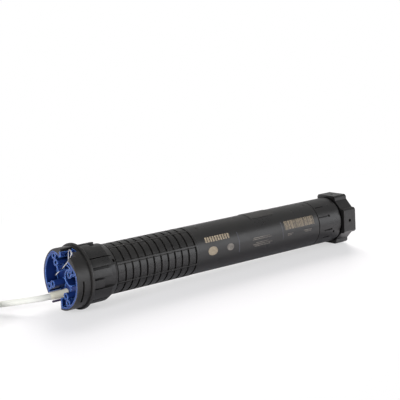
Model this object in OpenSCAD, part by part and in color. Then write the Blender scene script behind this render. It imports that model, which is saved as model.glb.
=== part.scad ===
// Tubular motor for a roller blind, lying on a flat surface with its axis along X and its head at -X.
// Angles round the axis are counted from the top, positive towards -Y.

/* [Head] */
// Diameter of the flange that stops against the roller tube
flange_d = 65; // [64:0.5:68]
// Length of the flange
flange_len = 3; // [2.8:0.1:4.5]
// Rounding of the flange's edges
flange_round = 1; // [0.5:0.1:1.4]
// Diameter of the rim in front of the flange
rim_d = 60.6; // [60:0.1:62]
// Length of the rim
rim_len = 15; // [14:0.5:17]
// Thickness of the rim's wall round the insert
rim_wall = 1.6; // [1.2:0.1:1.8]
// Wall of the neck
neck_wall = 2; // [1.6:0.1:2.6]
// Length of the neck inside the electronics housing
neck_grip = 12; // [9:0.5:14]
// Thickness of the web behind the insert
web_t = 3; // [2.5:0.1:4]

/* [Head insert] */
// Wall of the insert's rim and of its ribs
insert_wall = 1.9; // [1.5:0.1:2.4]
// Thickness of the insert's floor
insert_floor = 2; // [1.5:0.1:3]
// Bolt circle of the outer screw holes
outer_pcd = 48; // [47:0.1:48.4]
// Bolt circle of the inner screw holes
inner_pcd = 34; // [32:0.1:35]
// Diameter of the screw holes
screw_hole_d = 3.8; // [3:0.1:4.2]
// Diameter of the screw bosses
boss_d = 7.2; // [6.6:0.1:7.4]
// Diameter of the socket for the bracket's stud
socket_d = 15; // [14:0.1:15.4]
// Depth of the socket behind the web
socket_len = 12; // [8:0.5:16]

/* [Spring clip] */
// Diameter of the clip's wire
clip_wire_d = 1.5; // [1.2:0.1:1.6]
// Radius of the clip's loop, at the middle of the wire
clip_loop_r = 3.5; // [3:0.1:3.8]
// Distance of the loop's centre from the axis
clip_loop_h = 28.3; // [27.6:0.1:30]
// Distance of the crossing of the wires from the axis
clip_cross_h = 18.5; // [18:0.1:19.4]
// Length of each leg below the crossing
clip_leg_len = 28.5; // [26:0.5:30]
// Depth of the clip behind the face
clip_depth = 5; // [4.5:0.1:5.2]
// Travel of the clip when it is pulled
clip_travel = 6; // [4:0.5:6]

/* [Antenna] */
// Diameter of the antenna
antenna_d = 2.2; // [1.8:0.1:3]
// How far the antenna stands out of the face
antenna_out = 8.5; // [5:0.5:12]

/* [Crown] */
// How far the crown's panels stand above the body
crown_step = 4.2; // [3.5:0.1:5]
// Length of the crown
crown_len = 29.2; // [26:0.1:34]
// Length of the slope at the crown's rear end
crown_slope = 8; // [5:0.5:10]
// Depth of the flat fields between the panels
crown_recess = 2.4; // [0.8:0.1:3]
// Gap at each end of the crown
crown_gap = 1.4; // [0.9:0.1:1.6]

/* [Body] */
// Diameter of the body
body_d = 50; // [49.8:0.1:50.6]
// Length of the ribbed electronics housing
housing_len = 100; // [96:1:115]
// Wall of the electronics housing under its pads
housing_wall = 2.7; // [2.6:0.1:3.1]
// Width of the grooves between the pads
groove_w = 2.2; // [1:0.1:2.6]
// Depth of the grooves
groove_depth = 1.3; // [0.7:0.1:1.3]
// Width of the plain ring at the end of the housing
end_ring = 3; // [2:0.5:5]
// Length of the smooth tube
tube_len = 170; // [166:1:185]
// Wall of the smooth tube
tube_wall = 1.2; // [1:0.1:1.4]
// Length of a spigot inside the smooth tube
spigot_len = 14; // [13:0.5:18]
// Length of the bare plate on the tube
plate_len = 32; // [20:1:40]
// Thickness of the bare plate
plate_t = 0.4; // [0.3:0.1:0.6]

/* [Electronics] */
// Length of the control board
board_len = 76; // [70:1:78]
// Thickness of the printed boards
board_t = 1.6; // [1.2:0.1:2]
// Room round the run capacitor
run_cap_room = 6.2; // [5.2:0.1:8]
// Length of the run capacitor
run_cap_len = 38; // [30:0.5:39]

/* [Motor] */
// Thickness of the stator's iron behind its slots
yoke_t = 3.5; // [2.5:0.1:4.5]
// Air gap between rotor and stator
air_gap = 0.35; // [0.3:0.05:0.5]
// Diameter of the rotor shaft
shaft_d = 8; // [7:0.5:9]
// Thickness of the motor's end shields
shield_t = 6; // [5:0.5:7]

/* [Brake] */
// Gap round the brake disc
brake_gap = 2.2; // [1.2:0.1:5]
// Thickness of the brake disc
brake_t = 3; // [2.5:0.1:3.5]
// Thickness of the brake lining
lining_t = 1.6; // [1:0.1:2]
// Travel of the brake disc when the motor is switched on
brake_travel = 0.4; // [0.3:0.05:0.5]

/* [Gearbox] */
// Wall of the gearbox's housing round the ring gear
gear_wall = 1.3; // [1.1:0.1:1.5]
// Width of the planets of the first stage
stage_1_w = 8; // [7:0.5:8.5]
// Width of the planets of the second stage
stage_2_w = 9.5; // [8:0.5:10]
// Width of the planets of the third stage
stage_3_w = 12; // [10:0.5:12.5]
// Thickness of the planet carriers
carrier_t = 3; // [2.5:0.1:3.2]
// Diameter of the planets' pins
planet_pin_d = 3.6; // [3:0.1:4.4]
// Backlash of each tooth
backlash = 0.12; // [0.08:0.01:0.16]

/* [Output] */
// Length of the end cap that shows
cap_len = 35.5; // [34:0.5:42]
// Rounding of the end cap's rear edge
cap_round = 2; // [1:0.5:3]
// Diameter of the output shaft
output_d = 14; // [12:0.5:15]
// Width across the flats of the output shaft's square end
square_w = 9.6; // [8:0.1:9.8]
// Wall of the bush and of the seal round the output shaft
bush_wall = 3; // [2:0.1:4]
// Length of the bush round the output shaft
bush_len = 11.9; // [10:0.1:14]

/* [Drive wheel] */
// Distance between opposite wing faces of the drive wheel
wheel_flats = 54.6; // [54:0.1:58]
// Width of a wing
wing_w = 27.6; // [25:0.1:28.4]
// Height of the wings above the slanting faces between them
wing_step = 5; // [3:0.1:6]
// Length of the drive wheel
wheel_len = 18; // [16:0.5:20]
// Gap between the end cap and the drive wheel
wheel_gap = 1.2; // [1:0.1:2.5]
// Diameter of the screw holes in the wings
wing_hole_d = 3.6; // [2.5:0.1:4]
// Depth of the screw holes in the wings
wing_hole_depth = 9; // [6:0.5:10]

/* [Cable] */
// Diameter of the mains cable
cable_d = 6; // [5.6:0.1:6.2]
// Free length of the bare cores at the end of the cable
core_len = 34; // [25:1:40]
// Diameter of one insulated core
core_d = 2.3; // [2:0.1:2.5]
// Length of the ferrules on the cores
ferrule_len = 8; // [6:0.5:10]

/* [Hidden] */
$fn = 96;

// Overrun of every cut, and the clearances used in several places
over = 0.5;
fit = 0.1;
running = 0.05;
touch = 0.02;
apart = 0.3;

// Stations along the axis, from the head's face to the wheel's end
body_len = rim_len + flange_len + 2*crown_gap + crown_len + housing_len + tube_len + cap_len
  + wheel_gap + wheel_len;
face_x = antenna_out - (antenna_out + body_len)/2;
flange_x = face_x + rim_len;
crown_x = flange_x + flange_len + crown_gap;
housing_x = crown_x + crown_len + crown_gap;
tube_x = housing_x + housing_len;
cap_x = tube_x + tube_len;
cap_end = cap_x + cap_len;
wheel_x = cap_end + wheel_gap;
wheel_end = wheel_x + wheel_len;
axis_h = flange_d/2;

body_r = body_d/2;
housing_bore_r = body_r - housing_wall;
tube_bore_r = body_r - tube_wall;
spigot_r = tube_bore_r - fit;
neck_r = housing_bore_r - fit;

// Head insert
insert_r = rim_d/2 - rim_wall - fit;
insert_len = rim_len + flange_len - web_t - fit;
bolt_turn = -29;
notch_turn = -154.5;
notch_angle = 49;
notch_len = rim_len - fit;
notch_side = 10;
// Corners of the two places where the insert's outline runs inside its circle: angles, shares of its radius
pocket_angles = [-26, -13, -3, -2.6, 2, 2.2];
pocket_shares = [1, 0.9, 0.81, 0.955, 0.955, 1.06];
lug_angles = [-2.2, 1.8];
lug_shares = [0.79, 0.955];
lug_len = 5.5;
dip_angles = [24, 30, 45, 64];
dip_shares = [0.86, 0.86, 0.915, 1];
// Gap in the insert's wall that the clip comes out of
gate_angles = [2, 33];
gate_behind = 22;
gate_deeper = 6;
slot_start = 82;
slot_end = 126;
slot_x = 5.3;
slot_long = 2;
slot_deep_in = 1.3;
arc_wall_r = 8.5;
arc_wall_shares = [-0.5487, 0.1841];
arc_wall_at = insert_r*arc_wall_shares;
arc_wall_t = 1.3;
tail_len = 5.5;
tail_t = 1.6;
brace_t = 1.1;
brace_from_shares = [-0.4, 0.59];
brace_to_shares = [-0.69, 0.49];

// Place of the antenna in the face
antenna_shares = [0.077, -0.7292];
antenna_at = insert_r*antenna_shares;

// Spring clip
clip_turn = 20;
clip_drift = clip_wire_d/2 + fit;
clip_stud_room = 9.4;
clip_leg_angle = asin(clip_stud_room/clip_cross_h);
clip_hook_len = 14;
clip_sides = 8;

// Mains cable: place where it leaves the head, and the boot round it
cable_r = cable_d/2;
boot_in = insert_len - insert_floor - fit;
boot_r = 4.3;
boot_tip_r = 3.4;
plug_top_r = 22;
socket_w = 9;
socket_room_in = 2.6;
socket_room_out = 1.1;
socket_h = neck_r - 2*neck_wall - socket_d/2 - socket_room_in - socket_room_out;
socket_block_len = 20;
socket_block_r = socket_d/2 + neck_wall + socket_room_in + socket_h/2;
cable_sides = 10;
coil_sides = 6;
coil_steps = 24;
// Route of the cable from the boot down to the coil: [distance from the face, across, height]
route_from_face = [
  [-5.2, 10.3, 14], [-10, 10.6, 14], [-16, 11.9, 13.8], [-23, 15.2, 13.2], [-31, 21.5, 11.6],
  [-39, 28.5, 9.9], [-47, 35.5, 8.2], [-55, 42.5, 6.7], [-63, 49.5, 5.2], [-70, 56, 4.2],
  [-76, 61.5, 3.8]
];
route = [for (p = route_from_face) [face_x + p[0], p[1], p[2]]];
cable_y = route[0][1];
cable_z = route[0][2];
boot_out = face_x - route[0][0];
cable_turn = atan2(-cable_y, cable_z - axis_h);
// Coil of the cable that is put away: three layers that spiral in, out and in
coil_from_face = [-106.06, 28.69];
coil_at = [face_x + coil_from_face[0], coil_from_face[1]];
coil_start = 47.5;
coil_outer = 44.5;
coil_turns = 2.9;
coil_last_turns = 2.63;
coil_pitch = 6.6;
coil_rise = 6.6;

// Crown panels as angles from the start of each quarter
panel_a = [16, 43];
panel_b = [45.5, 62.5];
panel_c = [67.5, 82.5];
tab_angles = [-3, 14];
crown_d = body_d + 2*crown_step;
crown_floor = crown_d/2 - crown_recess;
crown_rear_step = 0.6;
crown_rear_r = body_r + crown_rear_step;
tab_len = 12;
tab_drop = 0.5;
short_panel_len = 21;
dimple_d = 3.6;
dimple_angle = 55;

// Ribbed housing
pad_count = 11;
bar_count = 8;
bar_turn = 18;
bar_w = 1.3;
bar_rise = 0.2;
slit_w = 0.6;
slit_depth = 0.8;
slit_angle = 3.4;
end_pad_extra = 1;
pad_pitch = (housing_len - end_ring - 2*end_pad_extra)/pad_count;

// Electronics
carrier_wall = 1.8;
carrier_r = housing_bore_r - fit;
board_drop = 4.6;
ledge_w = 3;
ledge_t = 1.4;
board_margin = 1.5;
board_gap = 3;
board_x = housing_x + neck_grip + board_gap;
board_half = sqrt(pow(carrier_r - carrier_wall, 2) - pow(board_drop, 2)) - 2*fit;
board_top = board_t - board_drop;
terminal_len = 10;
terminal_w = 17;
terminal_h = 9;
terminal_hole_d = 3;
relay_len = 19;
relay_w = 15;
relay_h = 12;
transformer_len = 20;
transformer_w = 24;
transformer_h = 16;
filter_d = 10;
filter_h = 13;
filter_across_share = 0.4575;
radio_across_share = 0.51;
radio_len = 18;
radio_w = 14;
radio_can_h = 2.4;
part_gap = 2;

// Gear train: tooth counts, which set the speeds, and the sizes that follow from the body
sun_teeth = 12;
planet_teeth = 21;
ring_teeth = 54;
planets = 3;
pressure_angle = 20;
ring_wall = 2.15;
ring_wall_r = spigot_r - gear_wall;
ring_pitch_d = 2*(ring_wall_r - ring_wall);
gear_module = ring_pitch_d/ring_teeth;
addendum = 0.8*gear_module;
dedendum = 1.15*gear_module;
planet_orbit = gear_module*(sun_teeth + planet_teeth)/2;
flank_shares = [0, 0.3, 0.65, 1];
plate_gap = 1.4;
side_gap = 0.4;
output_extra_t = 1;
output_carrier_t = carrier_t + output_extra_t;
carrier_rim_gap = 1;
carrier_r_gear = ring_pitch_d/2 - addendum - carrier_rim_gap;
ring_lead = 0.8;
ring_tail = 0.2;
hub_relief = 0.4;
cap_bore_r = output_d/2 + bush_wall;
floor_gap = 0.6;
seal_len = 3;

// Stations of the gear train, from the end cap back
cap_floor_x = cap_end - seal_len - bush_len;
output_carrier_x = cap_floor_x - floor_gap - output_carrier_t;
stage_3_x = output_carrier_x - side_gap - stage_3_w;
carrier_2_x = stage_3_x - side_gap - carrier_t;
stage_2_x = carrier_2_x - side_gap - stage_2_w;
carrier_1_x = stage_2_x - side_gap - carrier_t;
gear_x = carrier_1_x - side_gap - stage_1_w;
ring_start = gear_x - ring_lead;
ring_end = output_carrier_x - ring_tail;

// Brake
spring_turns = 4;
spring_wire_d = 1;
spring_len = 5;
spring_gap = 0.1;
brake_plate_t = 3;
brake_plate_x = gear_x - plate_gap - brake_plate_t;
brake_x = brake_plate_x - apart - lining_t - brake_t;
spring_x = brake_x - spring_gap - brake_travel - spring_len;
brake_d = 2*(spigot_r - tube_wall - apart - brake_gap);

// Motor: the stator's iron fills what is left between the run capacitor and the brake
hold_len = 5;
run_cap_d = 2*(spigot_r - run_cap_room);
run_cap_x = tube_x + spigot_len - hold_len;
shield_room = 7;
rear_shield_x = run_cap_x + run_cap_len + shield_room;
magnet_len = 3;
end_turn = 7.5;
turn_gap = 1.2;
stator_x = rear_shield_x + shield_t + turn_gap + end_turn;
front_shield_x = spring_x - apart - shield_t;
stator_len = front_shield_x - turn_gap - end_turn - stator_x;
shield_hub_r = 8;
slot_count = 12;
slot_in = 1.6;
slot_deep = 5.6;
slot_wide = 3.2;
stator_bore = 2*(spigot_r - yoke_t - slot_deep - slot_in);
rotor_r = stator_bore/2 - air_gap;
cage_w = 4;
cage_bars = 12;
cage_bar_d = 2.4;
cage_drop = 0.8;
cage_ring_r = rotor_r - cage_drop;
shaft_r = shaft_d/2;
pinion_shaft_r = 2.4;
bush_t = 2;
lead_d = 1.8;
lead_r = spigot_r - run_cap_room/2;
lead_angles = [172, 180, 188];
plate_start = 81;
plate_angle = 50;

// Output shaft's end, and the marks in the end cap: angles, and places as shares of its length
clip_ring_t = 1.2;
clip_groove = 1;
seam_w = 1;
seam_depth = 0.8;
cap_cut = 1.2;
cap_slit_w = 1.3;
cap_slit_angles = [62.5, 98.3, 120, 34.5];
cap_slit_from_shares = [0.04, 0.24, 0.24, 0.08];
cap_slit_to_shares = [0.48, 0.58, 0.55, 0.41];
cap_slit_width_shares = [1, 1.35, 1, 1];
cap_hole_d = 2.8;
cap_hole_angles = [62.5, 106.7];
cap_hole_shares = [0.48, 0.655];

screw_head_d = 3.8;
screw_head_t = 0.7;
screw_shank_d = 2.4;
screw_turn = 16;
screw_inset = 9.6;
screw_cap_inset = 8;

// Drive wheel
hub_r = 11;
rim_t = 3;
spoke_t = 3;
pocket_depth = 9;
wing_corner = 2;
wing_chamfer = 1.5;
wing_slope = 3;
wheel_turn = -5;
slant_r = (wheel_flats/2 - wing_step + wing_w/2)/sqrt(2);

function polar(r, a) = [-r*sin(a), r*cos(a)];
function unit(v) = v/norm(v);
function involute(a) = tan(a)*180/PI - a;

// Half of a tooth's angle at a radius, for a gear with z teeth thinned by its backlash
function tooth_half(r, z, thin) =
  let (pitch_r = z*gear_module/2, base_r = pitch_r*cos(pressure_angle))
  90/z - thin/pitch_r*90/PI + involute(pressure_angle) - involute(acos(base_r/max(r, base_r)));

// Outline of a gear whose first tooth points up
module gear_outline(z, low_r, tip_r, thin) {
  radii = [for (s = flank_shares) low_r + s*(tip_r - low_r)];
  last = len(radii) - 1;
  polygon([for (i = [0:z - 1]) for (side = [-1, 1]) for (k = [0:last])
    let (r = radii[side < 0 ? k : last - k]) polar(r, 360*i/z + side*tooth_half(r, z, thin))]);
}

// Puts a drawing of the Y-Z plane at a station, so that it extrudes towards +X
module at(x) {
  translate([x, 0, axis_h]) rotate([90, 0, 90]) children();
}

// A ring round the axis from a station, with a named length
module ring(x, length, outer_r, inner_r) {
  at(x) difference() {
    cylinder(r = outer_r, h = length);
    if (inner_r > 0) translate([0, 0, -over]) cylinder(r = inner_r, h = length + 2*over);
  }
}

// A turned body from a list of [distance along the axis, radius]
module turned(x, outline) {
  at(x) rotate_extrude() polygon([for (p = outline) [p[1], p[0]]]);
}

// A wedge between two angles
module wedge(from, to, r) {
  steps = 6;
  polygon(concat([[0, 0]], [for (i = [0:steps]) polar(r, from + (to - from)*i/steps)]));
}

// One unbroken round tube along the points of a path. Its ends may be given the directions that they face.
module tube(path, r, sides, up, first, last) {
  count = len(path);
  points = [for (i = [0:count - 1])
    let (
      ahead = i == 0 && first != undef ? first : i == count - 1 && last != undef ? last
        : unit(path[min(i + 1, count - 1)] - path[max(i - 1, 0)]),
      side = unit(cross(ahead, up)),
      top = cross(side, ahead)
    )
    for (k = [0:sides - 1]) path[i] + r*(cos(360*k/sides)*side - sin(360*k/sides)*top)];
  faces = concat(
    [for (k = [1:sides - 2]) [0, k, k + 1]],
    [for (k = [1:sides - 2]) [count*sides - sides, count*sides - sides + k + 1, count*sides - sides + k]],
    [for (i = [0:count - 2]) for (k = [0:sides - 1])
      let (n = (k + 1) % sides) each [
        [i*sides + k, (i + 1)*sides + k, i*sides + n],
        [i*sides + n, (i + 1)*sides + k, (i + 1)*sides + n]]]);
  polyhedron(points, faces);
}

// Place on the coil after a number of turns: [x, y, z]
coil_whole = 2*coil_turns + coil_last_turns;
function coil_radius(t) =
  let (k = floor(t/coil_turns), part = t/coil_turns - k)
  coil_outer - coil_pitch*coil_turns*(k % 2 == 0 ? part : 1 - part);
function climb(t) =
  let (k = round(t/coil_turns), near = t - k*coil_turns, half = 0.25)
  k < 1 ? 0 : abs(near) > half ? (near > 0 ? k : k - 1) : k - 1 + (1 - cos(180*(near + half)/(2*half)))/2;
function coil_point(t) =
  let (a = coil_start + 360*t, r = coil_radius(t))
  [coil_at[0] + r*cos(a), coil_at[1] + r*sin(a), route[len(route) - 1][2] + coil_rise*climb(t)];
coil_path = [for (i = [0:round(coil_whole*coil_steps)]) coil_point(i/coil_steps)];

// Length of a path, and its least gap to itself two thirds of a turn or more apart
function path_length(p, i = 0) = i >= len(p) - 1 ? 0 : norm(p[i + 1] - p[i]) + path_length(p, i + 1);
function least_gap(p, steps, d) = min([for (i = [0:len(p) - 1]) for (j = [i + steps:1:len(p) - 1])
  norm(p[j] - p[i])]) - d;
echo(coil_length = path_length(coil_path), route_length = path_length(route));
echo(coil_gap = least_gap(coil_path, round(coil_steps*2/3), cable_d));

module bolt_holes(x, length) {
  at(x) for (arm = [0:3]) for (pcd = [inner_pcd, outer_pcd])
    rotate([0, 0, bolt_turn + 90*arm]) translate([0, pcd/2, 0]) cylinder(d = screw_hole_d, h = length);
}

// Outline of the insert, grown by a gap
module insert_outline(gap) {
  difference() {
    circle(insert_r + gap);
    for (k = [0:1]) polygon(outside(k, gap));
  }
}

// Points of a field outside the insert's outline, closed well beyond its circle
function outside(k, gap) =
  let (angles = k == 0 ? pocket_angles : dip_angles, shares = k == 0 ? pocket_shares : dip_shares,
    last = len(angles) - 1)
  concat([for (i = [0:last]) polar(insert_r*shares[i] + gap, angles[i])],
    [polar(flange_d, angles[last]), polar(flange_d, angles[0])]);

// Room for the clip's wires and their travel, in the plane of the face
module clip_room() {
  half = clip_wire_d/2 + apart;
  rotate(clip_turn) for (side = [-1, 1]) translate([0, clip_cross_h]) rotate(side*clip_leg_angle) {
    long = side > 0 ? clip_leg_len : clip_hook_len;
    translate([side > 0 ? -half : -half - clip_travel*sin(clip_leg_angle), -long - half])
      square([2*half + clip_travel*sin(clip_leg_angle), long + clip_travel + half]);
  }
}

module clip_slot() {
  half = clip_drift + clip_wire_d/2 + apart;
  at(face_x + clip_depth - half) linear_extrude(2*half) clip_room();
  at(face_x - over) linear_extrude(clip_depth + half + over) gate(gate_angles[1]);
  at(face_x - over) linear_extrude(clip_depth + half + gate_deeper + over) gate(gate_behind);
}

// Gap in the walls that the clip's loop stands in
module gate(end) {
  difference() {
    wedge(gate_angles[0], end, flange_d);
    circle(insert_r*dip_shares[0] - insert_wall - fit);
  }
}

// Both sides of the gap that the cable leaves through
module notch_wedge() {
  wedge(notch_turn - notch_angle/2, notch_turn + notch_angle/2, flange_d);
}

// Point of the flange's rounded edge: [distance from its end, radius]
function flange_edge(a) = [flange_round*(1 - cos(a)), flange_d/2 - flange_round*(1 - sin(a))];

module head_shell() {
  color("#2b2b2d") difference() {
    union() {
      turned(face_x, [[0, 0], [0, rim_d/2 - 3*fit], [3*fit, rim_d/2], [rim_len, rim_d/2], [rim_len, 0]]);
      turned(flange_x, concat([[0, 0]],
        [for (i = [0:4]) flange_edge(90*i/4)],
        [for (i = [4:-1:0]) [flange_len - flange_edge(90*i/4)[0], flange_edge(90*i/4)[1]]],
        [[flange_len, 0]]));
      ring(flange_x + flange_len - over, crown_x + crown_len + crown_gap + neck_grip
        - flange_x - flange_len + over, neck_r, 0);
    }
    at(face_x - over) linear_extrude(insert_len + fit + over) insert_outline(fit);
    ring(face_x + insert_len + fit + web_t + socket_len + web_t, body_len, neck_r - neck_wall, 0);
    at(face_x + insert_len + fit + web_t) linear_extrude(socket_len + web_t + over) difference() {
      circle(neck_r - neck_wall);
      circle(socket_d/2 + neck_wall);
      for (turn = [0, 90]) rotate(bolt_turn + turn) square([2*neck_r, neck_wall], center = true);
    }
    ring(face_x, insert_len + web_t + socket_len, socket_d/2, 0);
    at(face_x - over) linear_extrude(notch_len + over) notch_wedge();
    clip_slot();
    at(face_x + slot_x) linear_extrude(slot_long) difference() {
      wedge(slot_start, slot_end, flange_d);
      circle(rim_d/2 - slot_deep_in);
    }
    socket_seat(fit);
  }
}

module head_insert() {
  color("#1f49b8") difference() {
    union() {
      at(face_x) linear_extrude(insert_len) intersection() {
        insert_outline(0);
        union() {
          difference() {
            circle(insert_r);
            insert_outline(-insert_wall);
          }
          for (arm = [0:3]) rotate(bolt_turn + 90*arm) {
            for (pcd = [inner_pcd, outer_pcd]) translate([0, pcd/2]) circle(d = boss_d);
            translate([-insert_wall/2, inner_pcd/2]) square([insert_wall, insert_r - inner_pcd/2]);
          }
          rotate(bolt_turn) translate([-tail_t/2, inner_pcd/2 - boss_d/2 - tail_len])
            square([tail_t, tail_len + boss_d/2]);
          rotate(notch_turn - notch_angle/2 - 4) translate([-insert_wall, insert_r - notch_side])
            square([insert_wall, notch_side]);
          translate(arc_wall_at) difference() {
            circle(arc_wall_r);
            circle(arc_wall_r - arc_wall_t);
            rotate(-90) translate([-arc_wall_r, -arc_wall_r*2]) square([arc_wall_r*2, arc_wall_r*1.6]);
          }
          strip(insert_r*brace_from_shares, insert_r*brace_to_shares, brace_t);
        }
      }
      at(face_x) linear_extrude(lug_len) intersection() {
        wedge(lug_angles[0], lug_angles[1], flange_d);
        difference() {
          circle(insert_r*lug_shares[1]);
          circle(insert_r*lug_shares[0]);
        }
      }
      at(face_x + insert_len - insert_floor) linear_extrude(insert_floor) insert_outline(0);
    }
    bolt_holes(face_x - over, insert_len - insert_floor + over);
    ring(face_x - over, insert_len + 2*over, socket_d/2, 0);
    at(face_x - over) linear_extrude(notch_len - insert_floor + over) difference() {
      notch_wedge();
      circle(insert_r - insert_wall - fit);
    }
    clip_slot();
    boot_room();
    at(face_x + insert_len - insert_floor - over) linear_extrude(insert_floor + 2*over) plug_outline(fit);
  }
}

// A straight wall between two places
module strip(from, to, t) {
  way = to - from;
  translate(from) rotate(atan2(way[1], way[0])) translate([0, -t/2]) square([norm(way), t]);
}

module spring_clip() {
  long_leg = [clip_leg_len*sin(clip_leg_angle), clip_cross_h - clip_leg_len*cos(clip_leg_angle)];
  hook_leg = [-clip_hook_len*sin(clip_leg_angle), clip_cross_h - clip_hook_len*cos(clip_leg_angle)];
  open = asin(clip_loop_r/(clip_loop_h - clip_cross_h));
  arc_steps = 12;
  flat = concat(
    [long_leg, [long_leg[0]/2, (long_leg[1] + clip_cross_h)/2], [0, clip_cross_h]],
    [for (i = [0:arc_steps]) let (a = 180 + open - (180 + 2*open)*i/arc_steps)
      [clip_loop_r*cos(a), clip_loop_h + clip_loop_r*sin(a)]],
    [[0, clip_cross_h], [hook_leg[0]/2, (hook_leg[1] + clip_cross_h)/2], hook_leg]);
  last = len(flat) - 1;
  function drift(i) = i < 3 ? -1 : i > last - 3 ? 1 : 2*(i - 2)/(last - 4) - 1;
  color("#e8eaee") at(face_x + clip_depth) rotate([0, 0, clip_turn])
    tube([for (i = [0:last]) [flat[i][0], flat[i][1], clip_drift*drift(i)]], clip_wire_d/2, clip_sides,
      [0, 0, 1]);
}

module antenna() {
  color("#3a3348") at(face_x - antenna_out) translate([antenna_at[0], antenna_at[1], 0])
    cylinder(d = antenna_d, h = antenna_out + insert_len - insert_floor - touch);
}

// Outline of the block in the web that the cable's plug goes into
module socket_outline(gap) {
  rotate(cable_turn) translate([0, socket_block_r])
    square([socket_w + 2*gap, socket_h + 2*gap], center = true);
}

module socket_seat(gap) {
  at(face_x + insert_len - insert_floor - over)
    linear_extrude(insert_floor + web_t + fit + 2*over) socket_outline(gap);
}

module cable_socket() {
  color("#d8d6cf") at(face_x + insert_len + touch) linear_extrude(socket_block_len) socket_outline(0);
}

module boot_room() {
  at(face_x - over) translate([cable_y, cable_z - axis_h, 0])
    cylinder(r = boot_r + apart, h = insert_len - insert_floor + over);
}

// Outline of the boot's plug in the insert's floor, from the socket's block out to the cable
module plug_outline(gap) {
  low = socket_block_r - socket_h/2;
  rotate(cable_turn) translate([-socket_w/2 - gap, low - gap])
    square([socket_w + 2*gap, plug_top_r - low + 2*gap]);
}

module cable_boot() {
  color("#d9d5c6") {
    at(face_x - boot_out) translate([cable_y, cable_z - axis_h, 0])
      cylinder(r1 = boot_tip_r, r2 = boot_r, h = boot_out + boot_in);
    at(face_x + boot_in - over) linear_extrude(insert_floor) intersection() {
      plug_outline(0);
      translate([cable_y, cable_z - axis_h]) circle(boot_tip_r);
    }
    at(face_x + insert_len - insert_floor) linear_extrude(insert_floor) plug_outline(0);
  }
}

// Direction in which the cable runs from its route into the coil
into_coil = unit(coil_path[1] - route[len(route) - 2]);

module mains_cable() {
  color("#eceae6") tube(route, cable_r, cable_sides, [0, 0, 1], [-1, 0, 0], into_coil);
}

module cable_coil() {
  color("#eceae6") tube(coil_path, cable_r, coil_sides, [0, 0, 1], into_coil);
}

// Path of one bare core on the third layer of the coil, and its ferrule's after it
core_steps = 10;
core_spread = 2.9;
core_inner = 1.36;
core_slots = [-0.35, -1.35, 0.65];
function core_point(k, along_len) =
  let (
    t = coil_whole + along_len/(2*PI*coil_radius(coil_whole)),
    p = coil_point(coil_whole),
    a = coil_start + 360*t,
    s = min(1, along_len/core_len*1.6),
    ease = s*s*(3 - 2*s),
    out = (1 - ease)*core_inner*cos(90 + 120*k) + ease*core_spread*core_slots[k],
    drop = (1 - ease)*core_inner*sin(90 + 120*k) + ease*(core_d/2 + cable_r + apart - coil_rise),
    r = coil_radius(t) + out
  )
  [coil_at[0] + r*cos(a), coil_at[1] + r*sin(a), p[2] + drop];

module cable_cores() {
  shades = ["#7a5230", "#2f6fb5", "#8fae3c"];
  for (k = [0:2]) color(shades[k])
    tube([for (i = [0:core_steps]) core_point(k, core_len*i/core_steps)], core_d/2, clip_sides, [0, 0, 1]);
}

module core_ferrules() {
  color("#c9ccd2") for (k = [0:2]) {
    tip = core_point(k, core_len);
    ahead = unit(tip - core_point(k, core_len*(1 - 1/core_steps)));
    tube([tip, tip + ferrule_len*ahead], core_d/3, clip_sides, [0, 0, 1]);
  }
}

module crown_outline() {
  circle(crown_floor);
  for (quarter = [0:3]) rotate(90*quarter) for (panel = [panel_a, panel_b]) intersection() {
    circle(crown_d/2);
    wedge(panel[0], panel[1], crown_d);
  }
}

module crown() {
  color("#2a2a2c") difference() {
    intersection() {
      union() {
        at(crown_x) linear_extrude(crown_len) crown_outline();
        at(crown_x) linear_extrude(tab_len) for (quarter = [0:3]) rotate(90*quarter) intersection() {
          circle(crown_d/2 - tab_drop);
          wedge(tab_angles[0], tab_angles[1], crown_d);
        }
        at(crown_x) linear_extrude(short_panel_len) for (quarter = [0:3]) rotate(90*quarter) intersection() {
          circle(crown_d/2);
          wedge(panel_c[0], panel_c[1], crown_d);
        }
      }
      turned(crown_x, [[0, 0], [0, crown_d/2], [crown_len - crown_slope, crown_d/2],
        [crown_len, crown_rear_r], [crown_len, 0]]);
    }
    ring(crown_x - over, crown_len + 2*over, neck_r + running, 0);
    for (quarter = [0:3]) at(crown_x + crown_len - crown_slope/3) rotate([0, 0, dimple_angle + 90*quarter])
      translate([0, crown_rear_r - crown_recess/2, 0]) rotate([-90, 0, 0])
        cylinder(d = dimple_d, h = crown_d);
  }
}

module crown_washer() {
  color("#c9c4b8") ring(crown_x + crown_len + apart, crown_gap - 2*apart, body_r - 2*apart, neck_r + running);
}

// Radial screws through a spigot, and their holes
module screw_places(x) {
  for (turn = [0, 180]) at(x) rotate([0, 0, screw_turn + turn]) rotate([-90, 0, 0]) children();
}

module screw_holes(x, gap) {
  screw_places(x) {
    cylinder(d = screw_shank_d + 2*gap, h = body_d);
    translate([0, 0, body_r - screw_head_t - gap]) cylinder(d = screw_head_d + 2*gap, h = body_r);
  }
}

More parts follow.
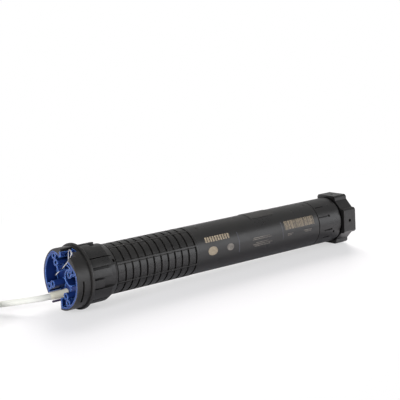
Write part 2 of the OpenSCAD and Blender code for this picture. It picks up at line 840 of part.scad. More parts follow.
module electronics_housing() {
  color("#29292b") difference() {
    union() {
      ring(housing_x, housing_len, body_r - groove_depth, 0);
      for (i = [0:pad_count - 1]) {
        start = housing_x + pad_pitch*i + (i > 0 ? end_pad_extra : 0);
        long = pad_pitch - groove_w + (i == 0 || i == pad_count - 1 ? end_pad_extra : 0);
        at(start) linear_extrude(long) difference() {
          circle(body_r);
          for (k = [0:bar_count - 1]) for (side = [-1, 1])
            rotate(bar_turn + 360*k/bar_count + side*slit_angle)
              translate([-slit_w/2, body_r - slit_depth]) square([slit_w, slit_depth + over]);
        }
      }
      ring(tube_x - end_ring, end_ring, body_r, 0);
      at(housing_x + end_ring) linear_extrude(housing_len - 2*end_ring) for (k = [0:bar_count - 1])
        rotate(bar_turn + 360*k/bar_count) translate([-bar_w/2, body_r - 2*groove_depth])
          square([bar_w, 2*groove_depth + bar_rise]);
      ring(tube_x - over, spigot_len + over, spigot_r, 0);
    }
    ring(housing_x - over, housing_len + spigot_len + 2*over, housing_bore_r, 0);
    screw_holes(tube_x + screw_inset, running);
  }
}

module board_carrier() {
  low = board_drop - 2*board_t;
  color("#3c3f44") at(board_x - board_margin) linear_extrude(board_len + 2*board_margin) intersection() {
    difference() {
      circle(carrier_r);
      difference() {
        circle(carrier_r - carrier_wall);
        for (side = [-1, 1])
          translate([side*(board_half - ledge_w/2) - ledge_w/2 + side*fit, -board_drop - ledge_t - touch])
            square([ledge_w, ledge_t]);
      }
    }
    translate([-carrier_r, -2*carrier_r - low]) square([2*carrier_r, 2*carrier_r]);
  }
}

// A box on the board: start along the board, middle across it, then length, width and height
module on_board(along, across, size, lift = 0) {
  at(board_x + along) translate([across - size[1]/2, board_top + touch + lift, 0])
    cube([size[1], size[2], size[0]]);
}

module control_board() {
  color("#1f6b43") at(board_x) translate([-board_half, -board_drop, 0])
    cube([2*board_half, board_t, board_len]);
}

module mains_terminal() {
  color("#3f7d46") difference() {
    on_board(part_gap/2, 0, [terminal_len, terminal_w, terminal_h]);
    for (k = [-1:1])
      on_board(-over, k*terminal_w/3.4, [terminal_len/2, terminal_hole_d, terminal_hole_d], terminal_h/3);
  }
}

relay_at = terminal_len + 1.5*part_gap;
transformer_at = relay_at + relay_len + part_gap;
filter_at = transformer_at + transformer_len + part_gap;

module relays() {
  color("#2f5f9e") for (side = [-1, 1])
    on_board(relay_at, side*(relay_w/2 + apart), [relay_len, relay_w, relay_h]);
}

module power_transformer() {
  color("#c7a33c") {
    on_board(transformer_at, 0, [transformer_len, transformer_w*0.6, transformer_h]);
    on_board(transformer_at + transformer_len/5, 0, [transformer_len*0.6, transformer_w, transformer_h*0.8]);
  }
}

module filter_capacitors() {
  color("#30343b") for (k = [0:1]) at(board_x + filter_at + filter_d*0.5 + k*(filter_d + part_gap/4))
    translate([board_half*filter_across_share, board_top + touch, 0]) rotate([-90, 0, 0])
      cylinder(d = filter_d, h = filter_h);
}

module radio_module() {
  across = -board_half*radio_across_share;
  color("#2c7a8c") on_board(filter_at, across, [radio_len, radio_w, board_t/2]);
  color("#b9bcc0") on_board(filter_at + part_gap, across,
    [radio_len - 2*part_gap, radio_w - part_gap, radio_can_h], board_t/2);
}

module motor_capacitor() {
  end_r = run_cap_d/2 - part_gap;
  color("#d9d9d4") {
    turned(run_cap_x, [[0, 0], [0, end_r], [part_gap, run_cap_d/2], [run_cap_len - part_gap, run_cap_d/2],
      [run_cap_len, end_r], [run_cap_len, 0]]);
    for (side = [-1, 1]) at(run_cap_x - hold_len) translate([side*run_cap_d/5 - board_t, -board_t/4, 0])
      cube([2*board_t, board_t/2, hold_len + over]);
  }
}

// Slot in a ring for the leads that run under the capacitor
module lead_slot(x, length) {
  at(x) linear_extrude(length) difference() {
    wedge(lead_angles[0] - 6, lead_angles[2] + 6, body_r);
    circle(lead_r - lead_d/2 - apart);
    difference() {
      circle(body_d);
      circle(lead_r + lead_d/2 + apart);
    }
  }
}

module capacitor_holder() {
  color("#8d9096") difference() {
    for (x = [tube_x + spigot_len + touch, run_cap_x + run_cap_len - part_gap - hold_len])
      ring(x, hold_len, spigot_r, run_cap_d/2 + touch);
    lead_slot(run_cap_x, run_cap_len);
  }
}

module inner_leads() {
  shades = ["#23252a", "#7a5230", "#2f6fb5"];
  lead_start = board_x + board_len + board_margin + touch;
  for (k = [0:2]) color(shades[k]) {
    at(lead_start) rotate([0, 0, lead_angles[k]]) translate([0, lead_r, 0])
      cylinder(d = lead_d, h = stator_x - end_turn - touch - lead_start);
    tube(socket_lead(k), lead_d/2, clip_sides, [0, 0, 1]);
  }
}

// Path of a lead from the socket in the head to the terminal on the board
function socket_lead(k) =
  let (
    from = polar(socket_block_r, cable_turn),
    a = face_x + insert_len + socket_block_len + 2*touch,
    b = board_x + part_gap/2 - touch,
    y0 = from[0] + (k - 1)*(lead_d + apart),
    y1 = (k - 1)*terminal_w/3.4,
    z0 = from[1],
    z1 = board_top + terminal_h/2
  )
  [for (i = [0:8]) let (s = i/8, e = s < 0.15 ? 0 : s > 0.85 ? 1 : (1 - cos(180*(s - 0.15)/0.7))/2)
    [a + (b - a)*s, y0 + (y1 - y0)*e, axis_h + z0 + (z1 - z0)*e]];

module motor_tube() {
  color("#2c2c2e") difference() {
    ring(tube_x + touch, tube_len - 2*touch, body_r, tube_bore_r);
    screw_holes(tube_x + screw_inset, running);
    screw_holes(cap_x - screw_cap_inset, running);
  }
}

module tube_screws() {
  color("#55575b") for (x = [tube_x + screw_inset, cap_x - screw_cap_inset]) screw_places(x) {
    translate([0, 0, spigot_r - tube_wall])
      cylinder(d = screw_shank_d, h = body_r - spigot_r + tube_wall - screw_head_t + touch);
    translate([0, 0, body_r - screw_head_t]) difference() {
      cylinder(d = screw_head_d, h = screw_head_t - fit);
      translate([-screw_head_d, -screw_head_t/2, screw_head_t/2])
        cube([2*screw_head_d, screw_head_t, screw_head_t]);
    }
  }
}

module rating_plate() {
  color("#3a3a3c") at(tube_x + plate_start) linear_extrude(plate_len) intersection() {
    wedge(-plate_angle/2, plate_angle/2, body_d);
    difference() {
      circle(body_r + plate_t);
      circle(body_r + touch);
    }
  }
}

// A slot of the stator, or the copper in it
module slots(gap) {
  for (k = [0:slot_count - 1]) rotate(360*k/slot_count)
    translate([-slot_wide/2 + gap, stator_bore/2 + slot_in + gap])
      square([slot_wide - 2*gap, slot_deep - 2*gap]);
}

module stator_core() {
  color("#8b8f96") at(stator_x) linear_extrude(stator_len) difference() {
    circle(spigot_r);
    circle(stator_bore/2);
    slots(0);
    for (k = [0:slot_count - 1]) rotate(360*k/slot_count)
      translate([-slot_wide/6, stator_bore/2 - over]) square([slot_wide/3, slot_in + 2*over]);
  }
}

module stator_winding() {
  low = stator_bore/2 + slot_in + fit;
  high = stator_bore/2 + slot_in + slot_deep - fit;
  color("#b5692f") {
    at(stator_x - end_turn + touch) linear_extrude(stator_len + 2*end_turn - 2*touch) slots(fit);
    for (x = [stator_x - end_turn + touch, stator_x + stator_len + fit]) at(x) rotate_extrude() {
      r = slot_deep/3;
      translate([low, 0]) square([high - low, end_turn - fit - touch]);
      translate([low + r, end_turn/2]) circle(end_turn/2 - fit);
    }
  }
}

module shield(x, rim_from, rim_to) {
  ring(x, shield_t, spigot_r, shaft_r + bush_t + touch);
  ring(rim_from, rim_to - rim_from, spigot_r, spigot_r - tube_wall - apart);
}

module rear_shield() {
  color("#b4b8bd") difference() {
    shield(rear_shield_x, rear_shield_x, stator_x - touch);
    lead_slot(rear_shield_x - over, shield_t + 2*over);
    for (k = [0:2]) at(rear_shield_x - over) rotate([0, 0, 120*k]) translate([0, lead_r*0.66, 0])
      cylinder(d = shaft_d, h = shield_t + 2*over);
  }
}

module front_shield() {
  color("#b4b8bd") {
    shield(front_shield_x, stator_x + stator_len + touch, brake_plate_x - touch);
    ring(front_shield_x - over, shield_t/2, shaft_r + 2*bush_t, shaft_r + bush_t + touch);
  }
}

module shaft_bushes() {
  color("#a9813f") for (x = [rear_shield_x, front_shield_x])
    ring(x, shield_t, shaft_r + bush_t, shaft_r + running);
}

module cage_holes(r) {
  for (k = [0:cage_bars - 1])
    rotate(360*k/cage_bars) translate([0, cage_ring_r - cage_bar_d/2 - fit]) circle(r);
}

module rotor_core() {
  color("#9a9ea5") at(stator_x) linear_extrude(stator_len) difference() {
    circle(rotor_r);
    circle(shaft_r + touch);
    cage_holes(cage_bar_d/2 + touch);
  }
}

module rotor_cage() {
  color("#d3d6da") {
    at(stator_x - cage_w) linear_extrude(stator_len + 2*cage_w) cage_holes(cage_bar_d/2);
    for (x = [stator_x - cage_w, stator_x + stator_len + touch])
      ring(x, cage_w - touch, cage_ring_r, shaft_r + bush_t);
  }
}

module rotor_shaft() {
  start = rear_shield_x - magnet_len - 2*turn_gap;
  long = gear_x - side_gap - start;
  color("#c5c8cc") turned(start, [[0, 0], [0, shaft_r - fit], [fit, shaft_r], [long, shaft_r],
    [long, pinion_shaft_r], [long + stage_1_w + side_gap, pinion_shaft_r], [long + stage_1_w + side_gap, 0]]);
}

module magnet_ring() {
  color("#4a4c50")
    ring(rear_shield_x - magnet_len - turn_gap, magnet_len, shield_hub_r - apart, shaft_r + touch);
}

module sensor_board() {
  color("#1f6b43") at(rear_shield_x - board_t - touch) translate([-shield_hub_r, shield_hub_r + apart, 0])
    cube([2*shield_hub_r, shield_hub_r, board_t]);
  color("#26282c") at(rear_shield_x - 2*board_t - touch) translate([-board_t, shield_hub_r + apart, 0])
    cube([2*board_t, 2*board_t, board_t]);
}

module brake_disc() {
  color("#8f949b") ring(brake_x, brake_t, brake_d/2, shaft_r + running);
}

module brake_lining() {
  color("#6b5a48") ring(brake_x + brake_t + touch, lining_t - touch, brake_d/2 - fit, brake_d/4);
}

module brake_spring() {
  turn_steps = 8;
  mean_r = shaft_r + bush_t;
  rise = spring_len - spring_wire_d - 2*fit;
  color("#d5d8dc") tube([for (i = [0:spring_turns*turn_steps]) [
    spring_x + fit + spring_wire_d/2 + rise*i/(spring_turns*turn_steps),
    mean_r*sin(360*i/turn_steps), axis_h + mean_r*cos(360*i/turn_steps)]],
    spring_wire_d/2, clip_sides, [1, 0, 0]);
}

module brake_plate() {
  color("#a7abb1") ring(brake_plate_x, brake_plate_t, spigot_r, shaft_r + 2*apart);
}

// A gear of the sun's size, of a planet's size, and a planet at its place in a stage
module sun_gear(x, length, bore_r) {
  pitch_r = sun_teeth*gear_module/2;
  at(x) linear_extrude(length) difference() {
    gear_outline(sun_teeth, pitch_r - dedendum, pitch_r + addendum, backlash);
    if (bore_r > 0) circle(bore_r);
  }
}

module planet(x, width, k) {
  pitch_r = planet_teeth*gear_module/2;
  color("#cdd0d4") at(x) rotate([0, 0, 120*k]) translate([0, planet_orbit, 0]) difference() {
    linear_extrude(width) gear_outline(planet_teeth, pitch_r - dedendum, pitch_r + addendum, backlash);
    translate([0, 0, -over]) cylinder(r = planet_pin_d/2 + running, h = width + 2*over);
  }
}

// A carrier's disc with the pins that its planets turn on
module carrier(x, thick, width) {
  ring(x, thick, carrier_r_gear, 0);
  for (k = [0:planets - 1]) at(x - width - side_gap) rotate([0, 0, 120*k]) translate([0, planet_orbit, 0])
    cylinder(d = planet_pin_d, h = width + side_gap + touch);
}

module sun_pinion() {
  color("#c0c3c8") sun_gear(gear_x - side_gap + touch, stage_1_w + side_gap - touch, pinion_shaft_r + touch);
}

module planet_1a() { planet(gear_x, stage_1_w, 0); }
module planet_1b() { planet(gear_x, stage_1_w, 1); }
module planet_1c() { planet(gear_x, stage_1_w, 2); }

module carrier_1() {
  color("#a8acb3") {
    carrier(carrier_1_x, carrier_t, stage_1_w);
    sun_gear(carrier_1_x + carrier_t - touch, side_gap + stage_2_w, 0);
  }
}

module planet_2a() { planet(stage_2_x, stage_2_w, 0); }
module planet_2b() { planet(stage_2_x, stage_2_w, 1); }
module planet_2c() { planet(stage_2_x, stage_2_w, 2); }

module carrier_2() {
  color("#a8acb3") {
    carrier(carrier_2_x, carrier_t, stage_2_w);
    sun_gear(carrier_2_x + carrier_t - touch, side_gap + stage_3_w, 0);
  }
}

module planet_3a() { planet(stage_3_x, stage_3_w, 0); }
module planet_3b() { planet(stage_3_x, stage_3_w, 1); }
module planet_3c() { planet(stage_3_x, stage_3_w, 2); }

module output_carrier() {
  color("#9da1a8") difference() {
    carrier(output_carrier_x, output_carrier_t, stage_3_w);
    ring(output_carrier_x - over, output_carrier_t + 2*over, output_d/2 - bush_t + touch, 0);
  }
}

module ring_gear() {
  color("#b9bcc2") at(ring_start) linear_extrude(ring_end - ring_start) difference() {
    circle(ring_wall_r);
    gear_outline(ring_teeth, ring_pitch_d/2 - addendum, ring_pitch_d/2 + dedendum, -backlash);
  }
}

module gear_housing() {
  start = brake_plate_x + brake_plate_t + touch;
  color("#29292b") difference() {
    union() {
      ring(start, cap_x - start + over, spigot_r, 0);
      at(cap_x) rotate_extrude() difference() {
        square([body_r, cap_len]);
        translate([body_r - seam_depth, -over]) square([seam_depth + over, seam_w + over]);
        translate([body_r - cap_round, cap_len - cap_round]) difference() {
          square([cap_round + over, cap_round + over]);
          circle(cap_round);
        }
      }
    }
    ring(start - over, cap_floor_x - start + over, ring_wall_r + touch, 0);
    ring(cap_floor_x - over, body_len, cap_bore_r + touch, 0);
    screw_holes(cap_x - screw_cap_inset, running);
    for (half = [0, 180]) {
      for (i = [0:len(cap_slit_angles) - 1]) cap_slit(cap_slit_angles[i] + half, cap_len*cap_slit_from_shares[i],
        cap_len*cap_slit_to_shares[i], cap_slit_w*cap_slit_width_shares[i]);
      for (i = [0:len(cap_hole_angles) - 1]) cap_hole(cap_hole_angles[i] + half, cap_len*cap_hole_shares[i]);
    }
  }
}

module cap_slit(angle, from, to, w) {
  at(cap_x + from) linear_extrude(to - from) rotate(angle)
    translate([-w/2, body_r - cap_cut]) square([w, body_r]);
}

module cap_hole(angle, along_len) {
  at(cap_x + along_len) rotate([0, 0, angle]) translate([0, body_r - cap_cut, 0])
    rotate([-90, 0, 0]) cylinder(d = cap_hole_d, h = body_r);
}

module output_shaft() {
  shank_r = output_d/2 - bush_t;
  shoulder = output_carrier_t + touch;
  square_x = cap_end + wheel_gap/2;
  hub_end = wheel_end - hub_relief - 3*clip_ring_t;
  color("#c2c5ca") difference() {
    union() {
      turned(output_carrier_x, [[0, 0], [0, shank_r], [shoulder, shank_r], [shoulder, output_d/2],
        [square_x - output_carrier_x, output_d/2], [square_x - output_carrier_x, 0]]);
      at(square_x - touch) linear_extrude(wheel_end - hub_relief - square_x) rotate(wheel_turn)
        square(square_w, center = true);
    }
    ring(hub_end + touch, clip_ring_t + 2*touch, body_r, square_w/2 - clip_groove*0.7);
  }
}

module output_bush() {
  color("#b08a45")
    ring(cap_floor_x, cap_end - seal_len - cap_floor_x - touch, cap_bore_r, output_d/2 + running);
}

module output_seal() {
  color("#1d1d1f") ring(cap_end - seal_len, seal_len - fit, cap_bore_r, output_d/2 + running);
}

// Four wings with cut corners, and straight slanting faces between them
module wheel_outline() {
  chord = wing_w/2;
  reach = wheel_flats/2;
  wing = [[chord, reach - wing_step], [chord, reach - wing_corner], [chord - wing_corner, reach],
    [-chord + wing_corner, reach], [-chord, reach - wing_corner], [-chord, reach - wing_step]];
  polygon([for (k = [0:3]) for (p = wing)
    [p[0]*cos(90*k) - p[1]*sin(90*k), p[0]*sin(90*k) + p[1]*cos(90*k)]]);
}

// Side view of the wheel, with its edges chamfered
module wheel_profile() {
  high = wheel_flats/2;
  c = wing_chamfer;
  polygon([[-high + c/2, 0], [-high, c/2], [-high, wheel_len - wing_slope], [-high + c, wheel_len],
    [high - c, wheel_len], [high, wheel_len - wing_slope], [high, c/2], [high - c/2, 0]]);
}

module drive_wheel() {
  hub_end = wheel_len - hub_relief - 3*clip_ring_t;
  color("#262628") at(wheel_x) rotate([0, 0, wheel_turn]) difference() {
    intersection() {
      linear_extrude(wheel_len) wheel_outline();
      for (turn = [0, 90]) rotate([0, 0, turn]) translate([0, wheel_flats, 0]) rotate([90, 0, 0])
        linear_extrude(2*wheel_flats) wheel_profile();
    }
    translate([0, 0, -over]) linear_extrude(wheel_len + 2*over) square(square_w + 2*fit, center = true);
    translate([0, 0, hub_end]) cylinder(r = hub_r - spoke_t/2, h = wheel_len);
    translate([0, 0, wheel_len - pocket_depth]) linear_extrude(wheel_len) difference() {
      circle(slant_r - rim_t);
      circle(hub_r + over);
      for (k = [0:1]) rotate(90*k) square([2*body_d, 2*(wing_hole_d/2 + spoke_t)], center = true);
    }
    for (k = [0:3]) rotate([0, 0, 90*k]) translate([0, wheel_flats/2 - wing_hole_depth, wheel_len/2])
      rotate([-90, 0, 0]) cylinder(d = wing_hole_d, h = wheel_flats);
  }
}

module wheel_clip() {
  start = wheel_end - hub_relief - 3*clip_ring_t + 2*touch;
  color("#b4b7bc") at(start) linear_extrude(clip_ring_t - touch) rotate(wheel_turn) difference() {
    circle(square_w/2 + 2*clip_groove + apart);
    circle(square_w/2 - clip_groove/2);
    translate([-clip_ring_t, 0]) square([2*clip_ring_t, body_r]);
  }
}

head_shell();
head_insert();
spring_clip();
antenna();
cable_socket();
cable_boot();
mains_cable();
cable_coil();
cable_cores();
core_ferrules();
crown();
crown_washer();
electronics_housing();
board_carrier();
control_board();
mains_terminal();
relays();
power_transformer();
filter_capacitors();
radio_module();
motor_capacitor();
capacitor_holder();
inner_leads();
motor_tube();
tube_screws();
rating_plate();
stator_core();
stator_winding();
rear_shield();
front_shield();
shaft_bushes();
rotor_core();
rotor_cage();
rotor_shaft();
magnet_ring();
sensor_board();
brake_disc();
brake_lining();
brake_spring();
brake_plate();
sun_pinion();
planet_1a();
planet_1b();
planet_1c();
carrier_1();
planet_2a();
planet_2b();
planet_2c();
carrier_2();
planet_3a();
planet_3b();
planet_3c();
output_carrier();
ring_gear();
gear_housing();
output_shaft();
output_bush();
output_seal();
drive_wheel();
wheel_clip();
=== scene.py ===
import math
import bpy
import numpy as np
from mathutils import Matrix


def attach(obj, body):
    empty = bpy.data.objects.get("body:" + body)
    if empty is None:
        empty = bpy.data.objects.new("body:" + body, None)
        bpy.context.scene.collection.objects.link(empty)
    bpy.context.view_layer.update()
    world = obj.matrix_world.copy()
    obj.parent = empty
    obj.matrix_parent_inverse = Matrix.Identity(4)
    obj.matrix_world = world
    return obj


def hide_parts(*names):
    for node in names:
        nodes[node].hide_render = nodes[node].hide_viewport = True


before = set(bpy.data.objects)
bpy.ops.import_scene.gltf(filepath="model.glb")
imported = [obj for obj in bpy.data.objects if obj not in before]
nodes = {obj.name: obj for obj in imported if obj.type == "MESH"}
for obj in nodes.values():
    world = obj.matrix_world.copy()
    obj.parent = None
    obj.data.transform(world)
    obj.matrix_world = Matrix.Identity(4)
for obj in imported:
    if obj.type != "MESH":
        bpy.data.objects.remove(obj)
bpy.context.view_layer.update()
mm = 0.001  # a millimetre in metres
print("frame loaded:", len(nodes), "nodes")

# Stations of the motor along X, the height of its axis and the tube's radius, in millimetres
motor = {"face": -183.1, "flange": -168.1, "tube": -33.1,
         "wheelFull": 188.6,  # where the drive wheel ends
         "wheelRest": 4.28,  # how much higher the wheel's underside is than the flange's
         "axis": 32.5, "tubeRadius": 25.0}

# Camera at the photograph's angle, in degrees and millimetres
camera = {"azimuth": -39.2, "elevation": 13.83, "distance": 1182.0, "target": (-12.6, 0.0, 83.6),
          "lens": 103.5, "sensor": 36.0,
          "sees": (0.01, 50.0)}  # the nearest and farthest that it shows, in metres


# The camera stands at its target plus the distance along the direction back from it. The azimuth, counted
# from -Y, and the elevation give that direction, and the camera looks the other way along it.
def placeCamera(spec):
    data = bpy.data.cameras.new("photoCamera")
    data.lens, data.sensor_width = spec["lens"], spec["sensor"]
    data.clip_start, data.clip_end = spec["sees"]
    eye = bpy.data.objects.new("photoCamera", data)
    bpy.context.scene.collection.objects.link(eye)
    azimuth, elevation = math.radians(spec["azimuth"]), math.radians(spec["elevation"])
    back = np.array([math.sin(azimuth)*math.cos(elevation), -math.cos(azimuth)*math.cos(elevation),
                     math.sin(elevation)])
    eye.location = (np.array(spec["target"]) + spec["distance"]*back)*mm
    eye.rotation_euler = (math.pi/2 - elevation, 0.0, azimuth)
    bpy.context.scene.camera = eye


placeCamera(camera)

# Mesh helpers: lengths go in as millimetres. A mesh is in metres, and holds its piece's place.


# A point at a radius and an angle round the motor's axis, counted from the top and positive towards -Y
def aroundAxis(radius, angle):
    turn = np.radians(angle)
    return -radius*np.sin(turn), motor["axis"] + radius*np.cos(turn)


# A flat drawing stood up in the cross plane, its origin on the motor's axis, and turned round that axis
def turnedFlat(flat, turn):
    across = flat[:, 0]*math.cos(turn) - flat[:, 1]*math.sin(turn)
    height = motor["axis"] + flat[:, 0]*math.sin(turn) + flat[:, 1]*math.cos(turn)
    return np.column_stack([across, height])


# Quads of a grid of points, rows by columns, where either way may close on itself
def gridQuads(rows, columns, closeRows=False, closeColumns=True):
    i, k = np.meshgrid(np.arange(rows if closeRows else rows - 1),
                       np.arange(columns if closeColumns else columns - 1), indexing="ij")
    nextRow, nextColumn = (i + 1) % rows, (k + 1) % columns
    corners = [i*columns + k, i*columns + nextColumn, nextRow*columns + nextColumn, nextRow*columns + k]
    return np.stack(corners, -1).reshape(-1, 4).tolist()


# Faces of a closed bar: the quads between its rings, and one face over each of its ends
def barFaces(rings, sides):
    last = (rings - 1)*sides
    return gridQuads(rings, sides) + [list(range(sides))[::-1], [last + k for k in range(sides)]]


# A mesh object from points in millimetres, riding on a body, with a finish
def makePiece(name, points, faces, body, slotName, material):
    mesh = bpy.data.meshes.new(name)
    mesh.from_pydata((np.asarray(points, float)*mm).tolist(), [], faces)
    mesh.polygons.foreach_set("use_smooth", np.ones(len(mesh.polygons), bool))
    mesh.materials.append(material)
    mesh.update()
    piece = bpy.data.objects.new(name, mesh)
    bpy.context.scene.collection.objects.link(piece)
    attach(piece, body)
    return piece


# Sharp edges stay sharp where two faces turn by more than the angle
def smoothByAngle(piece, degrees):
    piece.data.set_sharp_from_angle(angle=math.radians(degrees))


# Several sets of points and faces as one
def joinShapes(shapes):
    points, faces, start = [], [], 0
    for shapePoints, shapeFaces in shapes:
        points.append(shapePoints)
        faces += [[index + start for index in face] for face in shapeFaces]
        start += len(shapePoints)
    return np.concatenate(points), faces


# A round bar swept along a path: each ring is a circle square to the path, on two directions that come from
# the path's own and from "up"
def sweptTube(path, radius, sides, up):
    path = np.asarray(path, float)
    ahead = np.gradient(path, axis=0)
    ahead /= np.linalg.norm(ahead, axis=1, keepdims=True)
    side = np.cross(ahead, np.broadcast_to(np.asarray(up, float), ahead.shape))
    side /= np.linalg.norm(side, axis=1, keepdims=True)
    top = np.cross(side, ahead)
    turn = np.linspace(0, 2*np.pi, sides, endpoint=False)[None, :, None]
    reach = np.broadcast_to(np.asarray(radius, float), (len(path),))[:, None, None]
    points = path[:, None] + reach*(np.cos(turn)*side[:, None] - np.sin(turn)*top[:, None])
    return points.reshape(-1, 3), barFaces(len(path), sides)


# A turned body: a profile of (distance along X, radius) carried round a line parallel to X
def turnedBody(profile, sides, across, height):
    profile = np.asarray(profile, float)
    turn = np.linspace(0, 2*np.pi, sides, endpoint=False)[None, :]
    points = np.stack([np.broadcast_to(profile[:, :1], (len(profile), sides)),
                       across + profile[:, 1:]*np.cos(turn), height + profile[:, 1:]*np.sin(turn)], -1)
    return points.reshape(-1, 3), barFaces(len(profile), sides)


# An outline in the cross plane carried along X, drawn in towards its middle by the edge at both ends
def bevelledSlab(outline, start, end, edge):
    middle = outline.mean(0)
    small = middle + (outline - middle)*(1 - edge/np.abs(outline - middle).max())
    rings = [(start, small), (start + edge, outline), (end - edge, outline), (end, small)]
    points = np.concatenate([np.column_stack([np.full(len(o), x), o]) for x, o in rings])
    return points, barFaces(len(rings), len(outline))


# A rectangle whose corners are quarter circles, each a turn of its radius from a corner's own middle
def roundedRectangle(left, right, low, high, corner, steps=6):
    turn = np.radians(np.linspace(0, 90, steps))
    arcs = []
    for x, y, first in ((right - corner, high - corner, 0), (left + corner, high - corner, 90),
                        (left + corner, low + corner, 180), (right - corner, low + corner, 270)):
        angle = turn + np.radians(first)
        arcs.append(np.column_stack([x + corner*np.cos(angle), y + corner*np.sin(angle)]))
    return np.concatenate(arcs)


# A smooth curve through points: each span is a cubic whose slopes come from the points on either side
def smoothPath(points, perSpan):
    line = np.asarray(points, float)
    line = np.concatenate([[2*line[0] - line[1]], line, [2*line[-1] - line[-2]]])
    t = np.linspace(0, 1, perSpan, endpoint=False)[None, :, None]
    before, start, end, after = line[:-3, None], line[1:-2, None], line[2:-1, None], line[3:, None]
    curve = 0.5*(2*start + (end - before)*t + (2*before - 5*start + 4*end - after)*t**2
                 + (3*start - before - 3*end + after)*t**3)
    return np.concatenate([curve.reshape(-1, 3), line[-2:-1]])


# A path's length is the sum of the distances between its points
def pathLength(path):
    return float(np.linalg.norm(np.diff(path, axis=0), axis=1).sum())


# Materials. A finish is a dictionary, and its maker turns it into nodes on Object coordinates. Its depths and
# radii are millimetres, and its patterns are counted per metre.

white = (1.0, 1.0, 1.0, 1.0)
black = (0.0, 0.0, 0.0, 1.0)
mixSockets = {"amount": 0, "first": 6, "second": 7, "result": 2}  # the Mix node's sockets for colours


# A node with its settings. An input is linked where it is given a socket, and set where it is given a value.
def addNode(tree, kind, inputs=(), **settings):
    node = tree.nodes.new("ShaderNode" + kind)
    for key, value in settings.items():
        setattr(node, key, value)
    for key, value in dict(inputs).items():
        if isinstance(value, bpy.types.NodeSocket):
            tree.links.new(value, node.inputs[key])
        else:
            node.inputs[key].default_value = value
    return node


# A new material with its node tree, its shader and the place that its patterns read
def startMaterial(name):
    material = bpy.data.materials.new(name)
    material.use_nodes = True
    tree = material.node_tree
    shader = tree.nodes["Principled BSDF"]
    return material, tree, shader, addNode(tree, "TexCoord").outputs["Object"]


# A sum, a product or the like of one or two values
def calculate(tree, operation, *values):
    return addNode(tree, "Math", dict(enumerate(values)), operation=operation).outputs[0]


# Cloudy noise, so many times a metre, and finer along an axis by its factor in "stretch"
def noise(tree, place, perMetre, detail=2.0, stretch=None):
    if stretch:
        place = addNode(tree, "Mapping", {"Vector": place, "Scale": stretch}).outputs[0]
    return addNode(tree, "TexNoise", {"Vector": place, "Scale": perMetre, "Detail": detail}).outputs[0]


# A value's share of the way between two ends, kept within them, becomes the same share between low and high.
# The usual ends, 0.3 and 0.7, hold most of what a noise gives.
def spread(tree, value, low, high, fromLow=0.3, fromHigh=0.7):
    return addNode(tree, "MapRange", {"Value": value, "From Min": fromLow, "From Max": fromHigh,
                                      "To Min": low, "To Max": high}).outputs[0]


# The first colour at an amount of 0 and the second at 1, each a socket or red, green and blue
def blendColours(tree, amount, first, second):
    opaque = [colour if isinstance(colour, bpy.types.NodeSocket) else (*colour, 1.0)
              for colour in (first, second)]
    mix = addNode(tree, "Mix", {mixSockets["amount"]: amount, mixSockets["first"]: opaque[0],
                                mixSockets["second"]: opaque[1]}, data_type="RGBA")
    return mix.outputs[mixSockets["result"]]


# The first shader at an amount of 0 and the second at 1
def blendShaders(tree, amount, first, second):
    return addNode(tree, "MixShader", {0: amount, 1: first, 2: second}).outputs[0]


# Fine relief: the surface is tilted as if it stood out by the height's share of the depth
def relief(tree, height, strength, depth, normal=None):
    bump = addNode(tree, "Bump", {"Height": height, "Strength": strength, "Distance": depth*mm})
    if normal is not None:
        tree.links.new(normal, bump.inputs["Normal"])
    return bump.outputs[0]


# What a pattern gives goes to the shader's own inputs
def linkShader(tree, shader, colour, rough, bump=None):
    tree.links.new(colour, shader.inputs["Base Color"])
    tree.links.new(rough, shader.inputs["Roughness"])
    if bump is not None:
        tree.links.new(bump, shader.inputs["Normal"])


# Closed and open: how much is free round a point that counts as deep in a recess, or as in the clear
probe = {"edgeSamples": 4, "recessSamples": 8, "closed": 0.35, "open": 0.85}


# How near a surface point is to an edge: the rounded normal and the plain one part there, so that their dot
# product falls from 1, and the amount is 1 where it has fallen by the sharpness
def edgeAmount(tree, radius, sharpness):
    rounded = addNode(tree, "Bevel", {"Radius": radius*mm}, samples=probe["edgeSamples"]).outputs[0]
    plain = addNode(tree, "NewGeometry").outputs["Normal"]
    agree = addNode(tree, "VectorMath", {0: rounded, 1: plain}, operation="DOT_PRODUCT").outputs["Value"]
    return rounded, spread(tree, agree, 1.0, 0.0, 1 - sharpness, 1.0)


# How open a surface point is: 0 deep in a recess, 1 in the clear, by the share of short rays that get away
def openness(tree, distance):
    free = addNode(tree, "AmbientOcclusion", {"Distance": distance*mm}, samples=probe["recessSamples"])
    return spread(tree, free.outputs["AO"], 0.0, 1.0, probe["closed"], probe["open"])


# What a moulded or painted piece has unless its own finish says otherwise
moulding = {"cloudPerMetre": 45.0, "cloudDetail": 3.0, "roughSpread": 0.05,
            "grainPerMetre": 2600.0, "grainStrength": 0.25, "grainDepth": 0.05,
            "scuffPerMetre": 260.0, "scuffDetail": 4.0, "scuffStretch": (1.0, 6.0, 6.0), "scuffRough": 0.05,
            "scuffLeast": 0.35,  # the edge lightening, wear and painted highlight, that an edge keeps between scuffs
            "wear": 0.3, "edgeSharpness": 0.12, "wornFactor": 2.2, "wornLift": 0.02,
            "shine": 0.5, "coat": 0.0}
